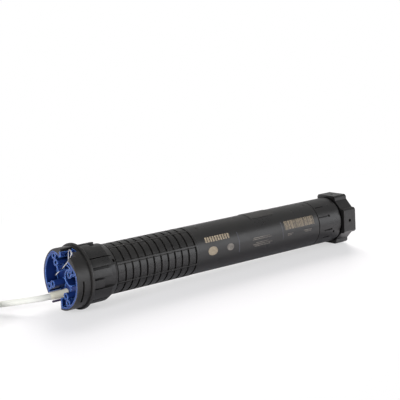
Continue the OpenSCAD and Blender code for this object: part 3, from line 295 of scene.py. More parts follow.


# Plastic or paint: a base colour with cloudy patches, moulding grain, a shine, and lighter edges that are
# partly wear and partly painted highlight. The roughness is the finish's own, plus or minus what the clouds
# and the scuffs add. An edge lightens by the product of its nearness, the scuffs and the amount. Recesses get
# painted
# shade: a darker colour where the finish gives one, and less shine.
def moulded(name, finish):
    material, tree, shader, place = startMaterial(name)
    clouds = noise(tree, place, finish["cloudPerMetre"], finish["cloudDetail"])
    colour = blendColours(tree, spread(tree, clouds, 0.0, 1.0), finish["colour"], finish["patch"])
    # Painted shade: where little is open round a point the colour goes to the darker recess colour
    if "recess" in finish:
        clear = openness(tree, finish["recess"])
        colour = blendColours(tree, clear, finish.get("deep", finish["colour"]), colour)
    grain = noise(tree, place, finish["grainPerMetre"])
    scuffs = noise(tree, place, finish["scuffPerMetre"], finish["scuffDetail"], finish["scuffStretch"])
    cloudRough = spread(tree, clouds, finish["rough"] - finish["roughSpread"],
                        finish["rough"] + finish["roughSpread"])
    scuffRough = spread(tree, scuffs, -finish["scuffRough"], finish["scuffRough"])
    rough = calculate(tree, "ADD", cloudRough, scuffRough)
    normal = None
    # Painted highlight and wear: the colour turns lighter at edges
    if "edgeRadius" in finish:
        normal, edge = edgeAmount(tree, finish["edgeRadius"], finish["edgeSharpness"])
        worn = calculate(tree, "MULTIPLY", edge, spread(tree, scuffs, finish["scuffLeast"], 1.0))
        worn = calculate(tree, "MULTIPLY", worn, finish["wear"])
        colour = blendColours(tree, worn, colour, finish["worn"])
    bump = relief(tree, grain, finish["grainStrength"], finish["grainDepth"], normal)
    linkShader(tree, shader, colour, rough, bump)
    shader.inputs["Specular IOR Level"].default_value = finish["shine"]
    # Painted shade: recesses keep only a share of the shine
    if "recess" in finish:
        shine = spread(tree, clear, finish["recessShine"]*finish["shine"], finish["shine"], 0.0, 1.0)
        tree.links.new(shine, shader.inputs["Specular IOR Level"])
    shader.inputs["Metallic"].default_value = 0.0
    shader.inputs["Coat Weight"].default_value = finish["coat"]
    return material


# What a metal piece has unless its own finish says otherwise
metalwork = {"cloudPerMetre": 60.0, "cloudDetail": 3.0,
             "scratchPerMetre": 500.0, "scratchDetail": 4.0, "scratchStretch": (1.0, 12.0, 12.0),
             "scratchStrength": 0.25, "scratchDepth": 0.02,
             "smoother": 0.06, "rougher": 0.08}  # how far the scratches carry the roughness either way


# Metal: its colour varies a little, and fine scratches run the way that the tool went. They give both the
# relief and the roughness, which goes from a little under the finish's own to a little over it.
def machined(name, finish):
    material, tree, shader, place = startMaterial(name)
    scratches = noise(tree, place, finish["scratchPerMetre"], finish["scratchDetail"],
                      finish["scratchStretch"])
    clouds = noise(tree, place, finish["cloudPerMetre"], finish["cloudDetail"])
    colour = blendColours(tree, spread(tree, clouds, 0.0, 1.0), finish["colour"], finish["patch"])
    rough = spread(tree, scratches, finish["rough"] - finish["smoother"], finish["rough"] + finish["rougher"])
    bump = relief(tree, scratches, finish["scratchStrength"], finish["scratchDepth"])
    linkShader(tree, shader, colour, rough, bump)
    shader.inputs["Metallic"].default_value = 1.0
    return material


# A plastic's finish. Its lighter edge colour, partly wear and partly painted highlight, is, unless it is
# given, its colour times a factor plus a little.
def plastic(colour, patch, rough, **more):
    worn = tuple(min(1.0, moulding["wornFactor"]*part + moulding["wornLift"]) for part in colour)
    return {**moulding, "colour": colour, "patch": patch, "rough": rough, "worn": worn, **more}


# A metal's finish
def metal(colour, patch, rough, **more):
    return {**metalwork, "colour": colour, "patch": patch, "rough": rough, **more}


# Colour, colour of the cloudy patches, roughness, and what differs from the usual
plasticFinishes = {
    # Lighter edge colours are partly wear and partly painted highlight; recess settings paint shade into
    # hollows
    "blackPlastic": plastic((0.0075, 0.0073, 0.0075), (0.0115, 0.0108, 0.0102), 0.33, edgeRadius=0.5,
                            edgeSharpness=0.08, wear=0.70, worn=(0.085, 0.080, 0.075),
                            recess=4.0, recessShine=0.15),
    "housingPlastic": plastic((0.0075, 0.0073, 0.0073), (0.0115, 0.0108, 0.0102), 0.29, edgeRadius=0.45,
                              edgeSharpness=0.08, wear=0.75, worn=(0.090, 0.085, 0.080),
                              recess=2.5, recessShine=0.10),
    "bluePlastic": plastic((0.0065, 0.020, 0.105), (0.009, 0.027, 0.14), 0.34, edgeRadius=0.9,
                           edgeSharpness=0.05, wear=1.0, worn=(0.15, 0.36, 1.0),
                           # the darker colour here is painted shade deep in the insert's pockets
                           recess=8.0, recessShine=0.3, deep=(0.0015, 0.005, 0.030)),
    "tubeLacquer": plastic((0.0110, 0.0106, 0.0106), (0.0150, 0.0142, 0.0136), 0.34, grainPerMetre=4200.0,
                           grainStrength=0.15, edgeRadius=0.3, wear=0.4, worn=(0.10, 0.095, 0.09)),
    "plateLacquer": plastic((0.0200, 0.0190, 0.0180), (0.0260, 0.0250, 0.0235), 0.42, grainPerMetre=4200.0,
                            grainStrength=0.10, edgeRadius=0.2, wear=0.5, worn=(0.10, 0.095, 0.09)),
    "cableSheath": plastic((0.66, 0.67, 0.62), (0.70, 0.71, 0.67), 0.42, grainPerMetre=1500.0,
                           grainStrength=0.12),
    "bootRubber": plastic((0.64, 0.62, 0.50), (0.70, 0.68, 0.57), 0.48, grainPerMetre=1800.0,
                          grainStrength=0.2),
    "antennaSleeve": plastic((0.040, 0.028, 0.060), (0.055, 0.040, 0.080), 0.35),
    "coreBrown": plastic((0.16, 0.07, 0.03), (0.20, 0.09, 0.04), 0.35),
    "coreBlue": plastic((0.03, 0.12, 0.40), (0.04, 0.15, 0.46), 0.35),
    "tieNylon": plastic((0.035, 0.035, 0.036), (0.045, 0.045, 0.046), 0.40),
    "printInk": plastic((0.40, 0.335, 0.245), (0.27, 0.222, 0.16), 0.55, cloudPerMetre=400.0,
                        grainPerMetre=6000.0),
    "faintInk": plastic((0.24, 0.22, 0.195), (0.13, 0.118, 0.105), 0.50, cloudPerMetre=500.0,
                        grainPerMetre=6000.0),
    # A light cool grey for the painted highlight of the tube's crimp rings
    "ringHighlight": plastic((0.16, 0.165, 0.20), (0.09, 0.093, 0.115), 0.24, cloudPerMetre=90.0),
    "washerPlastic": plastic((0.016, 0.015, 0.015), (0.022, 0.021, 0.020), 0.35),
    "socketPlastic": plastic((0.66, 0.65, 0.60), (0.72, 0.71, 0.67), 0.38),
    "carrierPlastic": plastic((0.045, 0.046, 0.055), (0.055, 0.056, 0.062), 0.45),
    "gearPlastic": plastic((0.72, 0.71, 0.64), (0.78, 0.77, 0.71), 0.32),
    "terminalGreen": plastic((0.04, 0.20, 0.07), (0.05, 0.25, 0.09), 0.35),
    "relayBlue": plastic((0.03, 0.11, 0.33), (0.04, 0.14, 0.38), 0.30),
    "capacitorSleeve": plastic((0.028, 0.032, 0.042), (0.036, 0.040, 0.052), 0.22, coat=0.3),
    "capacitorCan": plastic((0.68, 0.68, 0.65), (0.74, 0.74, 0.71), 0.40),
    "transformerTape": plastic((0.58, 0.38, 0.05), (0.66, 0.45, 0.08), 0.35, scuffStretch=(8.0, 1.0, 1.0)),
    "magnetBlack": plastic((0.07, 0.07, 0.08), (0.09, 0.09, 0.10), 0.60, grainPerMetre=1400.0),
    "brakePad": plastic((0.12, 0.09, 0.06), (0.16, 0.13, 0.10), 0.85, grainPerMetre=900.0, grainStrength=0.6),
    "sealRubber": plastic((0.018, 0.018, 0.018), (0.026, 0.026, 0.026), 0.65, grainPerMetre=1800.0),
}
metalFinishes = {
    "springWire": metal((0.84, 0.84, 0.84), (0.74, 0.74, 0.75), 0.20, scratchStretch=(4.0, 1.0, 1.0)),
    "tinned": metal((0.72, 0.72, 0.73), (0.62, 0.62, 0.63), 0.32),
    "turnedSteel": metal((0.52, 0.52, 0.53), (0.42, 0.42, 0.43), 0.30, scratchStretch=(14.0, 1.0, 1.0)),
    "blackSteel": metal((0.075, 0.075, 0.080), (0.11, 0.105, 0.10), 0.42),
    "punchedIron": metal((0.30, 0.30, 0.32), (0.22, 0.20, 0.19), 0.48, scratchStretch=(30.0, 1.0, 1.0),
                         scratchPerMetre=900.0),
    "castAluminium": metal((0.62, 0.62, 0.64), (0.52, 0.52, 0.54), 0.45, scratchStretch=(1.0, 1.0, 1.0),
                           scratchPerMetre=700.0),
    "sinteredBronze": metal((0.52, 0.33, 0.13), (0.42, 0.26, 0.10), 0.45, scratchStretch=(1.0, 1.0, 1.0),
                            scratchPerMetre=1800.0),
}
materials = {name: moulded(name, spec) for name, spec in plasticFinishes.items()}
materials.update({name: machined(name, spec) for name, spec in metalFinishes.items()})

winding = {"wire": (0.52, 0.19, 0.07), "gap": (0.16, 0.05, 0.02), "turnsPerMetre": 420.0,
           "waver": 1.5, "waverDetail": 2.0, "strength": 0.6, "depth": 0.2,
           "roughGap": 0.45, "roughWire": 0.28, "metallic": 0.8}


# Lacquered winding: fine turns show as bands across the wire's run. The band's height gives its colour, its
# relief and its roughness, from gap to wire.
def windingMaterial(name, spec):
    material, tree, shader, place = startMaterial(name)
    turns = addNode(tree, "TexWave", {"Vector": place, "Scale": spec["turnsPerMetre"],
                                      "Distortion": spec["waver"], "Detail": spec["waverDetail"]},
                    bands_direction="DIAGONAL").outputs["Fac"]
    colour = blendColours(tree, turns, spec["gap"], spec["wire"])
    rough = spread(tree, turns, spec["roughGap"], spec["roughWire"], 0.0, 1.0)
    linkShader(tree, shader, colour, rough, relief(tree, turns, spec["strength"], spec["depth"]))
    shader.inputs["Metallic"].default_value = spec["metallic"]
    return material


board = {"mask": (0.012, 0.10, 0.035), "trace": (0.020, 0.16, 0.055), "pad": (0.55, 0.55, 0.56),
         "tracesPerMetre": 240.0, "traceEdge": (0.30, 0.36), "padsPerMetre": 380.0, "padEdge": (0.68, 0.72),
         "rough": (0.25, 0.40)}


# Printed board: solder mask over copper traces, which are near the middles of a tiled pattern of cells, with
# tinned pads where a noise is highest
def boardMaterial(name, spec):
    material, tree, shader, place = startMaterial(name)
    cells = addNode(tree, "TexVoronoi", {"Vector": place, "Scale": spec["tracesPerMetre"]},
                    distance="CHEBYCHEV", feature="F1").outputs["Distance"]
    trace = spread(tree, cells, 1.0, 0.0, *spec["traceEdge"])
    pads = spread(tree, noise(tree, place, spec["padsPerMetre"], 0.0), 0.0, 1.0, *spec["padEdge"])
    mask = blendColours(tree, trace, spec["mask"], spec["trace"])
    linkShader(tree, shader, blendColours(tree, pads, mask, spec["pad"]),
               spread(tree, cells, *spec["rough"], 0.0, 1.0))
    return material


earthStripe = {"green": (0.05, 0.26, 0.06), "yellow": (0.75, 0.60, 0.04),
               "edge": 0.08,  # the sine at which a colour is full
               "grainPerMetre": 1800.0, "grainStrength": 0.15, "grainDepth": 0.05, "rough": (0.30, 0.42)}


# Green and yellow insulation: a wave round the core, which its own map counts from 0 to 1, is yellow where
# its sine is over zero
def stripedMaterial(name, spec):
    material, tree, shader, place = startMaterial(name)
    ownMap = addNode(tree, "UVMap", uv_map="along")
    parts = addNode(tree, "SeparateXYZ", {"Vector": ownMap.outputs[0]})
    stripe = calculate(tree, "SINE", calculate(tree, "MULTIPLY", parts.outputs[1], 2*math.pi))
    amount = spread(tree, stripe, 0.0, 1.0, -spec["edge"], spec["edge"])
    grain = noise(tree, place, spec["grainPerMetre"])
    linkShader(tree, shader, blendColours(tree, amount, spec["green"], spec["yellow"]),
               spread(tree, grain, *spec["rough"]),
               relief(tree, grain, spec["grainStrength"], spec["grainDepth"]))
    return material


materials["copperWinding"] = windingMaterial("copperWinding", winding)
materials["board"] = boardMaterial("board", board)
materials["coreEarth"] = stripedMaterial("coreEarth", earthStripe)
print("materials made:", len(materials))

# Mains cable: the same route as in the part's source, and its unseen length wound in a coil

cable = {"radius": 3.0, "sides": 16, "stepsPerTurn": 36, "perSpan": 3,
         "route": [(-5.2, 10.3, 14), (-10, 10.6, 14), (-16, 11.9, 13.8), (-23, 15.2, 13.2), (-31, 21.5, 11.6),
                   (-39, 28.5, 9.9), (-47, 35.5, 8.2), (-55, 42.5, 6.7), (-63, 49.5, 5.2), (-70, 56, 4.2),
                   (-76, 61.5, 3.8)],  # X from the head's face, Y and Z
         "coilFromFace": (-106.06, 28.69), "coilStart": 47.5, "outer": 44.5,
         "turns": 2.9, "lastTurns": 2.63,  # on each of the two full layers, and on the last one
         "pitch": 6.6, "rise": 6.6, "climb": 0.25}  # climb: half the turns that a change of layer takes
cores = {"names": ("coreBrown", "coreBlue", "coreEarth"), "length": 34.0, "radius": 1.15, "sides": 12,
         "inner": 1.36, "firstAt": 90, "apart": 2.9, "slots": (-0.35, -1.35, 0.65), "gap": 0.3,
         "settle": 1.6,  # they lie side by side after 1/1.6 of their length
         "steps": 30}
# Along and wide are shares of the ferrule's length and radius: a collar, then a sleeve with crimped rings
ferrule = {"length": 8.0, "radius": 0.78, "sides": 14, "overCore": 0.06,
           "along": (-0.12, 0.0, 0.04, 0.10, 0.2, 0.3, 0.4, 0.5, 0.6, 0.7, 0.8, 0.9, 0.98, 1.0),
           "wide": (1.22, 1.24, 1.05, 1.0, 0.94, 1.0, 0.94, 1.0, 0.94, 1.0, 1.0, 0.98, 0.86)}
cable["whole"] = 2*cable["turns"] + cable["lastTurns"]
coilCentre = np.array([motor["face"] + cable["coilFromFace"][0], cable["coilFromFace"][1]])
coilHeight = cable["route"][-1][2]


# The coil's radius falls by the pitch each turn on even layers, and grows by it on odd ones
def coilRadius(t):
    layer = np.floor(t/cable["turns"])
    part = t/cable["turns"] - layer
    return cable["outer"] - cable["pitch"]*cable["turns"]*np.where(layer % 2 == 0, part, 1 - part)


# The layer that the cable is on after t turns. It climbs to the next one in half a turn, on a cosine.
def coilClimb(t):
    layer = np.round(t/cable["turns"])
    near, half = t - layer*cable["turns"], cable["climb"]
    level = np.where(near > 0, layer, layer - 1)
    rising = layer - 1 + (1 - np.cos(np.pi*(near + half)/(2*half)))/2
    return np.where(layer < 1, 0.0, np.where(np.abs(near) > half, level, rising))


# X and Y after t turns of the coil: an angle that grows with t, at the coil's radius plus a little more
def coilPlace(t, out=0.0):
    turn, reach = np.radians(cable["coilStart"]) + 2*np.pi*t, coilRadius(t) + out
    return coilCentre[0] + reach*np.cos(turn), coilCentre[1] + reach*np.sin(turn)


# A point of the coil after t turns: its place, and a height that rises by one step each layer
def coilPoint(t):
    return np.stack([*coilPlace(t), coilHeight + cable["rise"]*coilClimb(t)], -1)


# A bare core leaves the cable's end on one of three places and eases down to its slot beside the others. The
# ease is three squares less two cubes of its share of the way.
def corePoint(k, along):
    whole = cable["whole"]
    t = whole + along/(2*np.pi*coilRadius(whole))
    s = np.minimum(1, along/cores["length"]*cores["settle"])
    ease = s*s*(3 - 2*s)
    start = np.radians(cores["firstAt"] + 360/len(cores["names"])*k)
    out = (1 - ease)*cores["inner"]*np.cos(start) + ease*cores["apart"]*cores["slots"][k]
    resting = cores["radius"] + cable["radius"] + cores["gap"] - cable["rise"]  # on the layer below
    up = (1 - ease)*cores["inner"]*np.sin(start) + ease*resting
    return np.stack([*coilPlace(t, out), coilPoint(np.array([whole]))[0][2] + up], -1)


# The cable: a smooth curve through its route, then the coil's turns in equal steps, swept as one tube
def buildCable():
    route = [(motor["face"] + x, y, z) for x, y, z in cable["route"]]
    turns = np.linspace(0, cable["whole"], int(round(cable["whole"]*cable["stepsPerTurn"])) + 1)
    path = np.concatenate([smoothPath(route, cable["perSpan"])[:-1], coilPoint(turns)])
    piece = makePiece("mainsCord", *sweptTube(path, cable["radius"], cable["sides"], (0, 0, 1)),
                      "housing", "cable_white", materials["cableSheath"])
    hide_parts("mains_cable", "cable_coil")
    return piece, path


# A core's map: its first number is the share of its length, and its second the share of a turn round it
def mapAlong(mesh):
    layer = mesh.uv_layers.new(name="along")
    points = np.zeros(len(mesh.loops), int)
    mesh.loops.foreach_get("vertex_index", points)
    rows, columns = points//cores["sides"], points % cores["sides"]
    shares = np.stack([rows/cores["steps"], columns/cores["sides"]], -1)
    layer.data.foreach_set("uv", shares.ravel().astype(np.float32))


# The bare cores are tubes along their paths. Each ends in a ferrule: rings along the core's last direction,
# at shares of the ferrule's length and with shares of its radius.
def buildCores():
    steps = np.linspace(0, cores["length"], cores["steps"] + 1)
    share = np.array(ferrule["along"])[:, None]
    wide = np.array([cores["radius"]/ferrule["radius"] + ferrule["overCore"], *ferrule["wide"]])
    pieces, tips = [], []
    for k, name in enumerate(cores["names"]):
        path = corePoint(k, steps)
        pieces.append(makePiece(name, *sweptTube(path, cores["radius"], cores["sides"], (0, 0, 1)),
                                "housing", "core_insulation", materials[name]))
        ahead = (path[-1] - path[-2])/np.linalg.norm(path[-1] - path[-2])
        tips.append(sweptTube(path[-1] + share*ferrule["length"]*ahead, ferrule["radius"]*wide,
                              ferrule["sides"], (0, 0, 1)))
    mapAlong(pieces[cores["names"].index("coreEarth")].data)
    ferrules = makePiece("coreFerruleSet", *joinShapes(tips), "housing", "tinned_metal", materials["tinned"])
    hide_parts("cable_cores")
    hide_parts("core_ferrules")
    return pieces + [ferrules]


# Boot at the cable's exit: a tapered collar, and the blue block that it goes through
boot = {"out": 6.1, "end": 14.8,  # where it begins and ends, from the head's face
        "room": 0.05, "tip": 3.45, "wide": 4.35,  # round the cable, and the radii at tip and block
        "ridge": 0.08,  # how far the taper begins outside the tip's radius
        "sides": 40, "steps": 16,
        "lip": 2.2, "lipCurve": ((0.0, 0.0), (0.3, 0.35), (0.7, 0.8)),  # shares of its length and height
        "overlap": 0.1, "sharpFrom": 35,
        "block": {"from": 12.9, "to": 14.88, "half": 4.5, "low": 12.1, "high": 22.0, "corner": 1.0,
                  "edge": 0.25}}


# The boot is turned round the cable: a lip that rises from the cable to the tip's radius, a straight taper
# that widens to the block, and a straight end inside it. The block is a slab with round corners, turned so
# that it stands on the line from the motor's axis to the cable.
def buildBoot():
    across, height = cable["route"][0][1:]
    face, block = motor["face"], boot["block"]
    thin, tip, start = cable["radius"] + boot["room"], boot["tip"], -boot["out"]
    lip = [(start + along*boot["lip"], thin + up*(tip - thin)) for along, up in boot["lipCurve"]]
    s = np.linspace(0, 1, boot["steps"])
    taper = np.column_stack([start + boot["lip"] + s*(block["from"] + boot["out"] - boot["lip"]),
                             tip + boot["ridge"] + (boot["wide"] - tip - boot["ridge"])*s])
    profile = np.concatenate([lip, taper, [(block["from"] + boot["overlap"], tip), (boot["end"], tip)]])
    profile[:, 0] += face
    collar = makePiece("strainRelief", *turnedBody(profile, boot["sides"], across, height),
                       "housing", "boot_beige", materials["bootRubber"])
    flat = roundedRectangle(-block["half"], block["half"], block["low"], block["high"], block["corner"])
    outline = turnedFlat(flat, math.atan2(-across, height - motor["axis"]))
    slab = bevelledSlab(outline, face + block["from"], face + block["to"], block["edge"])
    # The block wears the insert's blue finish, whose painted recess shade keeps it dark deep in the head
    seat = makePiece("bootSeat", *slab, "housing", "blue_plastic", materials["bluePlastic"])
    for part in (collar, seat):
        smoothByAngle(part, boot["sharpFrom"])
    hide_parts("cable_boot")
    return [collar, seat]


# Cable ties: a flat band round the coil's turns at one angle, with its lock block outside
tie = {"angles": (112.0, 192.0), "half": 1.8, "thick": 0.7, "corner": 3.4, "gap": 0.06,
       "nearby": 6,  # degrees to either side in which the cable is held
       "slack": 1,  # how far past the coil's outer radius it still counts
       "block": {"deep": 4.4, "tall": 5.2, "wide": 3.2, "down": 9, "corner": 0.8, "sink": 0.1, "edge": 0.4},
       "sharpFrom": 40}


# A band is the space between two rounded rectangles, its thickness apart, and reaches half its width to
# either side of its angle
def tieBand(low, high, base, top, outwards, along):
    thick = tie["thick"]
    inner = roundedRectangle(low, high, base, top, tie["corner"] - thick)
    outer = roundedRectangle(low - thick, high + thick, base - thick, top + thick, tie["corner"])
    rings = [(inner, -1), (outer, -1), (outer, 1), (inner, 1)]
    points = [np.column_stack([coilCentre + ring[:, :1]*outwards + side*tie["half"]*along, ring[:, 1]])
              for ring, side in rings]
    faces = gridQuads(len(rings), len(inner), closeRows=True)
    return np.concatenate(points), [face[::-1] for face in faces]


# The lock block is a slab that stands on the band's outer side, a set way down from its top
def tieBlock(outside, top, outwards, along):
    block = tie["block"]
    middle, half = top - block["down"], block["tall"]/2
    flat = roundedRectangle(-block["wide"]/2, block["wide"]/2, middle - half, middle + half, block["corner"])
    slab, faces = bevelledSlab(flat, outside - block["sink"], outside + block["deep"] - block["sink"],
                               block["edge"])
    place = coilCentre + slab[:, :1]*outwards + slab[:, 1:2]*along
    return np.column_stack([place, slab[:, 2]]), faces


# Each tie goes round the turns that pass near its angle: from the innermost to the outermost and from the
# lowest to the highest, with the cable's radius and a gap added
def buildTies(path):
    shapes = []
    away = path[:, :2] - coilCentre
    radii = np.linalg.norm(away, axis=1)
    turns = np.degrees(np.arctan2(away[:, 1], away[:, 0]))
    for angle in tie["angles"]:
        apart = np.abs((turns - angle + 180) % 360 - 180)
        near = (apart < tie["nearby"]) & (radii < cable["outer"] + tie["slack"])
        low = radii[near].min() - cable["radius"] - tie["gap"]
        high = radii[near].max() + cable["radius"] + tie["gap"]
        base = path[near, 2].min() - cable["radius"] - tie["gap"]
        top = path[near, 2].max() + cable["radius"] + tie["gap"]
        turn = math.radians(angle)
        outwards = np.array([math.cos(turn), math.sin(turn)])
        along = np.array([-math.sin(turn), math.cos(turn)])
        shapes.append(tieBand(low, high, base, top, outwards, along))
        shapes.append(tieBlock(high + tie["thick"], top, outwards, along))
    piece = makePiece("coilTies", *joinShapes(shapes), "housing", "carrier_plastic", materials["tieNylon"])
    smoothByAngle(piece, tie["sharpFrom"])
    return piece


bootPieces = buildBoot()
coreSet = buildCores()
mainsCord, cordPath = buildCable()
coilTies = buildTies(cordPath)
print("cable laid:", round(pathLength(cordPath)), "mm")

# Spring clip: one wire with a loop, a long leg and a short one. Heights are from the motor's axis.
clip = {"wire": 0.75, "endShare": 0.7,  # radius, and the share of it that the cut ends have
        "loop": 3.5, "loopHeight": 28.3, "crossHeight": 18.5,
        "long": 28.5, "short": 14.0, "depth": 5.0, "turn": 20.0,
        "studRoom": 9.4,  # how far the legs stay from the axis
        "drift": 0.85,  # how far the wire steps aside where it passes itself
        "sides": 18, "arcSteps": 40, "legSteps": 12, "neckSteps": 5}


# The wire runs up one leg, round the loop and down the other, stepping aside so that it passes itself. The
# legs are straight lines to the crossing, which pass the axis at the stud's room. From the crossing straight
# necks go to the ends of the loop, an arc of a circle, which they meet where they only touch the circle.
def buildClip():
    lean = math.asin(clip["studRoom"]/clip["crossHeight"])
    opening = math.asin(clip["loop"]/(clip["loopHeight"] - clip["crossHeight"]))
    cross = np.array([0.0, clip["crossHeight"]])
    longEnd = cross + clip["long"]*np.array([math.sin(lean), -math.cos(lean)])
    shortEnd = cross + clip["short"]*np.array([-math.sin(lean), -math.cos(lean)])
    angles = np.pi + opening - (np.pi + 2*opening)*np.linspace(0, 1, clip["arcSteps"] + 1)
    arc = np.column_stack([clip["loop"]*np.cos(angles), clip["loopHeight"] + clip["loop"]*np.sin(angles)])
    leg = np.linspace(0, 1, clip["legSteps"], endpoint=False)[:, None]
    neck = clip["neckSteps"]
    up = longEnd + (cross - longEnd)*leg
    rise = cross + (arc[0] - cross)*np.linspace(0, 1, neck, endpoint=False)[:, None]
    fall = arc[-1] + (cross - arc[-1])*np.linspace(1/neck, 1, neck)[:, None]
    down = cross + (shortEnd - cross)*(leg + 1/clip["legSteps"])
    flat = np.concatenate([up, rise, arc, fall, down])
    straight = np.ones(clip["legSteps"] + neck)
    drift = np.concatenate([-straight, np.linspace(-1, 1, clip["arcSteps"] + 1), straight])
    path = np.column_stack([motor["face"] + clip["depth"] + clip["drift"]*drift,
                            turnedFlat(flat, math.radians(clip["turn"]))])
    radius = np.full(len(path), clip["wire"])
    radius[[0, -1]] = clip["wire"]*clip["endShare"]
    piece = makePiece("clipWire", *sweptTube(path, radius, clip["sides"], (1, 0, 0)), "clip", "spring_wire",
                      materials["springWire"])
    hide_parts("spring_clip")


buildClip()

# Antenna: a sleeve with a rounded tip
antenna = {"at": (2.202, 11.645), "radius": 1.1, "out": 8.5, "end": 12.88, "sides": 24,
           "tipLength": 0.8,  # share of the radius
           "point": 0.05, "tipSteps": 8, "sharpFrom": 50}


# The antenna is turned round its own line: its tip is a quarter of an ellipse, and the rest is straight
def buildAntenna():
    turn = np.linspace(0, math.pi/2, antenna["tipSteps"])[1:]
    tip = np.column_stack([-antenna["out"] + antenna["radius"]*(1 - np.cos(turn))*antenna["tipLength"],
                           antenna["radius"]*np.sin(turn)])
    profile = np.concatenate([[(-antenna["out"], antenna["point"])], tip,
                              [(antenna["end"], antenna["radius"])]])
    profile[:, 0] += motor["face"]
    piece = makePiece("antennaSleeve", *turnedBody(profile, antenna["sides"], *antenna["at"]), "housing",
                      "antenna_sleeve", materials["antennaSleeve"])
    smoothByAngle(piece, antenna["sharpFrom"])
    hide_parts("antenna")


buildAntenna()
print("head's small pieces made")

# Plain print on the tube: bars, lines and discs, and light rings that are a painted highlight, a hair above
# the lacquer. Stations are counted from the tube's front edge and angles from the top.
tubePrint = {"lift": 0.02, "thick": 0.05, "degreesPerStep": 3,
             "bars": {"from": 119.75, "to": 162.75, "angles": (52, 74), "count": 34, "seed": 7,
                      "widths": (0.45, 0.7, 1.0, 1.3)},  # of bars and gaps, in proportion
             "blocks": {"from": 10.25, "to": 43.25, "angles": (49, 62), "count": 10, "share": 0.72},
             "lineHalf": 0.8,  # degrees, to each side of a line
             "lines": [(73.25, 96.25, 76.0), (72.25, 98.25, 80.0), (76.25, 94.25, 88.0),  # from, to, angle
                       (72.25, 99.25, 92.0), (74.25, 96.25, 96.0), (122.25, 130.25, 84.5),
                       (122.25, 128.25, 88.0), (146.25, 158.25, 84.5), (148.25, 157.25, 88.0)],
             "strongDisc": (17.75, 83.5, 6.2, 10.5),  # station, angle, half its size along and round
             "faintDisc": (41.25, 83.5, 4.6, 8.5),
             # Light rings: a painted highlight where the tube's crimp rings catch the light
             "rings": [(53.05, 53.55, 52, 102),  # from, to, and the same in angle
                       (115.25, 115.75, 50, 96)]}


# A patch of the tube's surface between two stations and two angles
def tubePatch(start, end, low, high, lift):
    across = max(2, int((high - low)/tubePrint["degreesPerStep"]) + 1)
    x, a = np.meshgrid(motor["tube"] + np.array([start, end]), np.linspace(low, high, across), indexing="ij")
    y, z = aroundAxis(motor["tubeRadius"] + lift, a)
    return np.stack([x, y, z], -1).reshape(-1, 3), gridQuads(2, across, closeColumns=False)


# An ellipse on the tube's surface: rings of points from its middle to its rim
def tubeDisc(station, angle, reach, spreadAngle, lift, steps=40, rings=8):
    share = np.linspace(0, 1, rings + 1)[1:, None]
    turn = np.linspace(0, 2*np.pi, steps, endpoint=False)[None, :]
    middle = motor["tube"] + station
    x, a = middle + reach*share*np.cos(turn), angle + spreadAngle*share*np.sin(turn)
    y, z = aroundAxis(motor["tubeRadius"] + lift, a)
    points = np.stack([x, y, z], -1).reshape(-1, 3)
    centre = np.array([[middle, *aroundAxis(motor["tubeRadius"] + lift, angle)]])
    fan = [[rings*steps, (k + 1) % steps, k] for k in range(steps)]
    return np.concatenate([points, centre]), gridQuads(rings, steps) + fan


# The bars' edges are the running sum of drawn widths, stretched over their room. Blocks fill a share of each
# of their equal steps. Solidify gives all the print its thickness.
def buildPrint():
    bars, blocks, lift = tubePrint["bars"], tubePrint["blocks"], tubePrint["lift"]
    draw = np.random.default_rng(bars["seed"])
    edges = np.cumsum(draw.choice(bars["widths"], 2*bars["count"]))
    edges = bars["from"] + (bars["to"] - bars["from"])*(edges - edges[0])/(edges[-1] - edges[0])
    strong = [tubePatch(start, end, *bars["angles"], lift) for start, end in edges.reshape(-1, 2)]
    step = (blocks["to"] - blocks["from"])/blocks["count"]
    strong += [tubePatch(blocks["from"] + i*step, blocks["from"] + (i + blocks["share"])*step,
                         *blocks["angles"], lift) for i in range(blocks["count"])]
    strong += [tubeDisc(*tubePrint["strongDisc"], lift)]
    half = tubePrint["lineHalf"]
    faint = [tubePatch(start, end, angle - half, angle + half, lift)
             for start, end, angle in tubePrint["lines"]]
    faint += [tubeDisc(*tubePrint["faintDisc"], lift)]
    rings = [tubePatch(*ring, lift) for ring in tubePrint["rings"]]
    for name, shapes, ink in (("tubePrint", strong, "printInk"), ("tubeFaintPrint", faint, "faintInk"),
                              ("tubeRingHighlights", rings, "ringHighlight")):
        piece = makePiece(name, *joinShapes(shapes), "housing", "washer_plastic", materials[ink])
        wall = piece.modifiers.new("thickness", "SOLIDIFY")
        wall.thickness, wall.offset = tubePrint["thick"]*mm, 1.0


buildPrint()
print("print laid on the tube")

# Finishes of the frame's own nodes
nodeFinishes = {
    "blackPlastic": "head_shell crown drive_wheel gear_housing",
    "housingPlastic": "electronics_housing",
    "bluePlastic": "head_insert",
    "tubeLacquer": "motor_tube",
    "plateLacquer": "rating_plate",
    "socketPlastic": "cable_socket",
    "washerPlastic": "crown_washer",
    "carrierPlastic": "board_carrier capacitor_holder",
    "board": "control_board sensor_board",
    "terminalGreen": "mains_terminal",
    "relayBlue": "relays",
    "transformerTape": "power_transformer",
    "capacitorSleeve": "filter_capacitors",
    "capacitorCan": "motor_capacitor",
    "tinned": "radio_module",
    "coreBlue": "inner_leads",
    "blackSteel": "tube_screws",
    "punchedIron": "stator_core rotor_core",
    "copperWinding": "stator_winding",
    "castAluminium": "rear_shield front_shield rotor_cage brake_plate",
    "sinteredBronze": "shaft_bushes output_bush",
    "magnetBlack": "magnet_ring",
    "brakePad": "brake_lining",
    "turnedSteel": "rotor_shaft brake_disc sun_pinion carrier_1 carrier_2 output_carrier ring_gear "
                   "output_shaft planet_2a planet_2b planet_2c planet_3a planet_3b planet_3c",
    "gearPlastic": "planet_1a planet_1b planet_1c",
    "sealRubber": "output_seal",
    "springWire": "brake_spring wheel_clip",
}
for finishName, members in nodeFinishes.items():
    for node in members.split():
        nodes[node].data.materials.clear()
        nodes[node].data.materials.append(materials[finishName])
print("frame's nodes finished")

# Studio: a white floor that the flange and the wheel rest on, soft lamps and a white surround

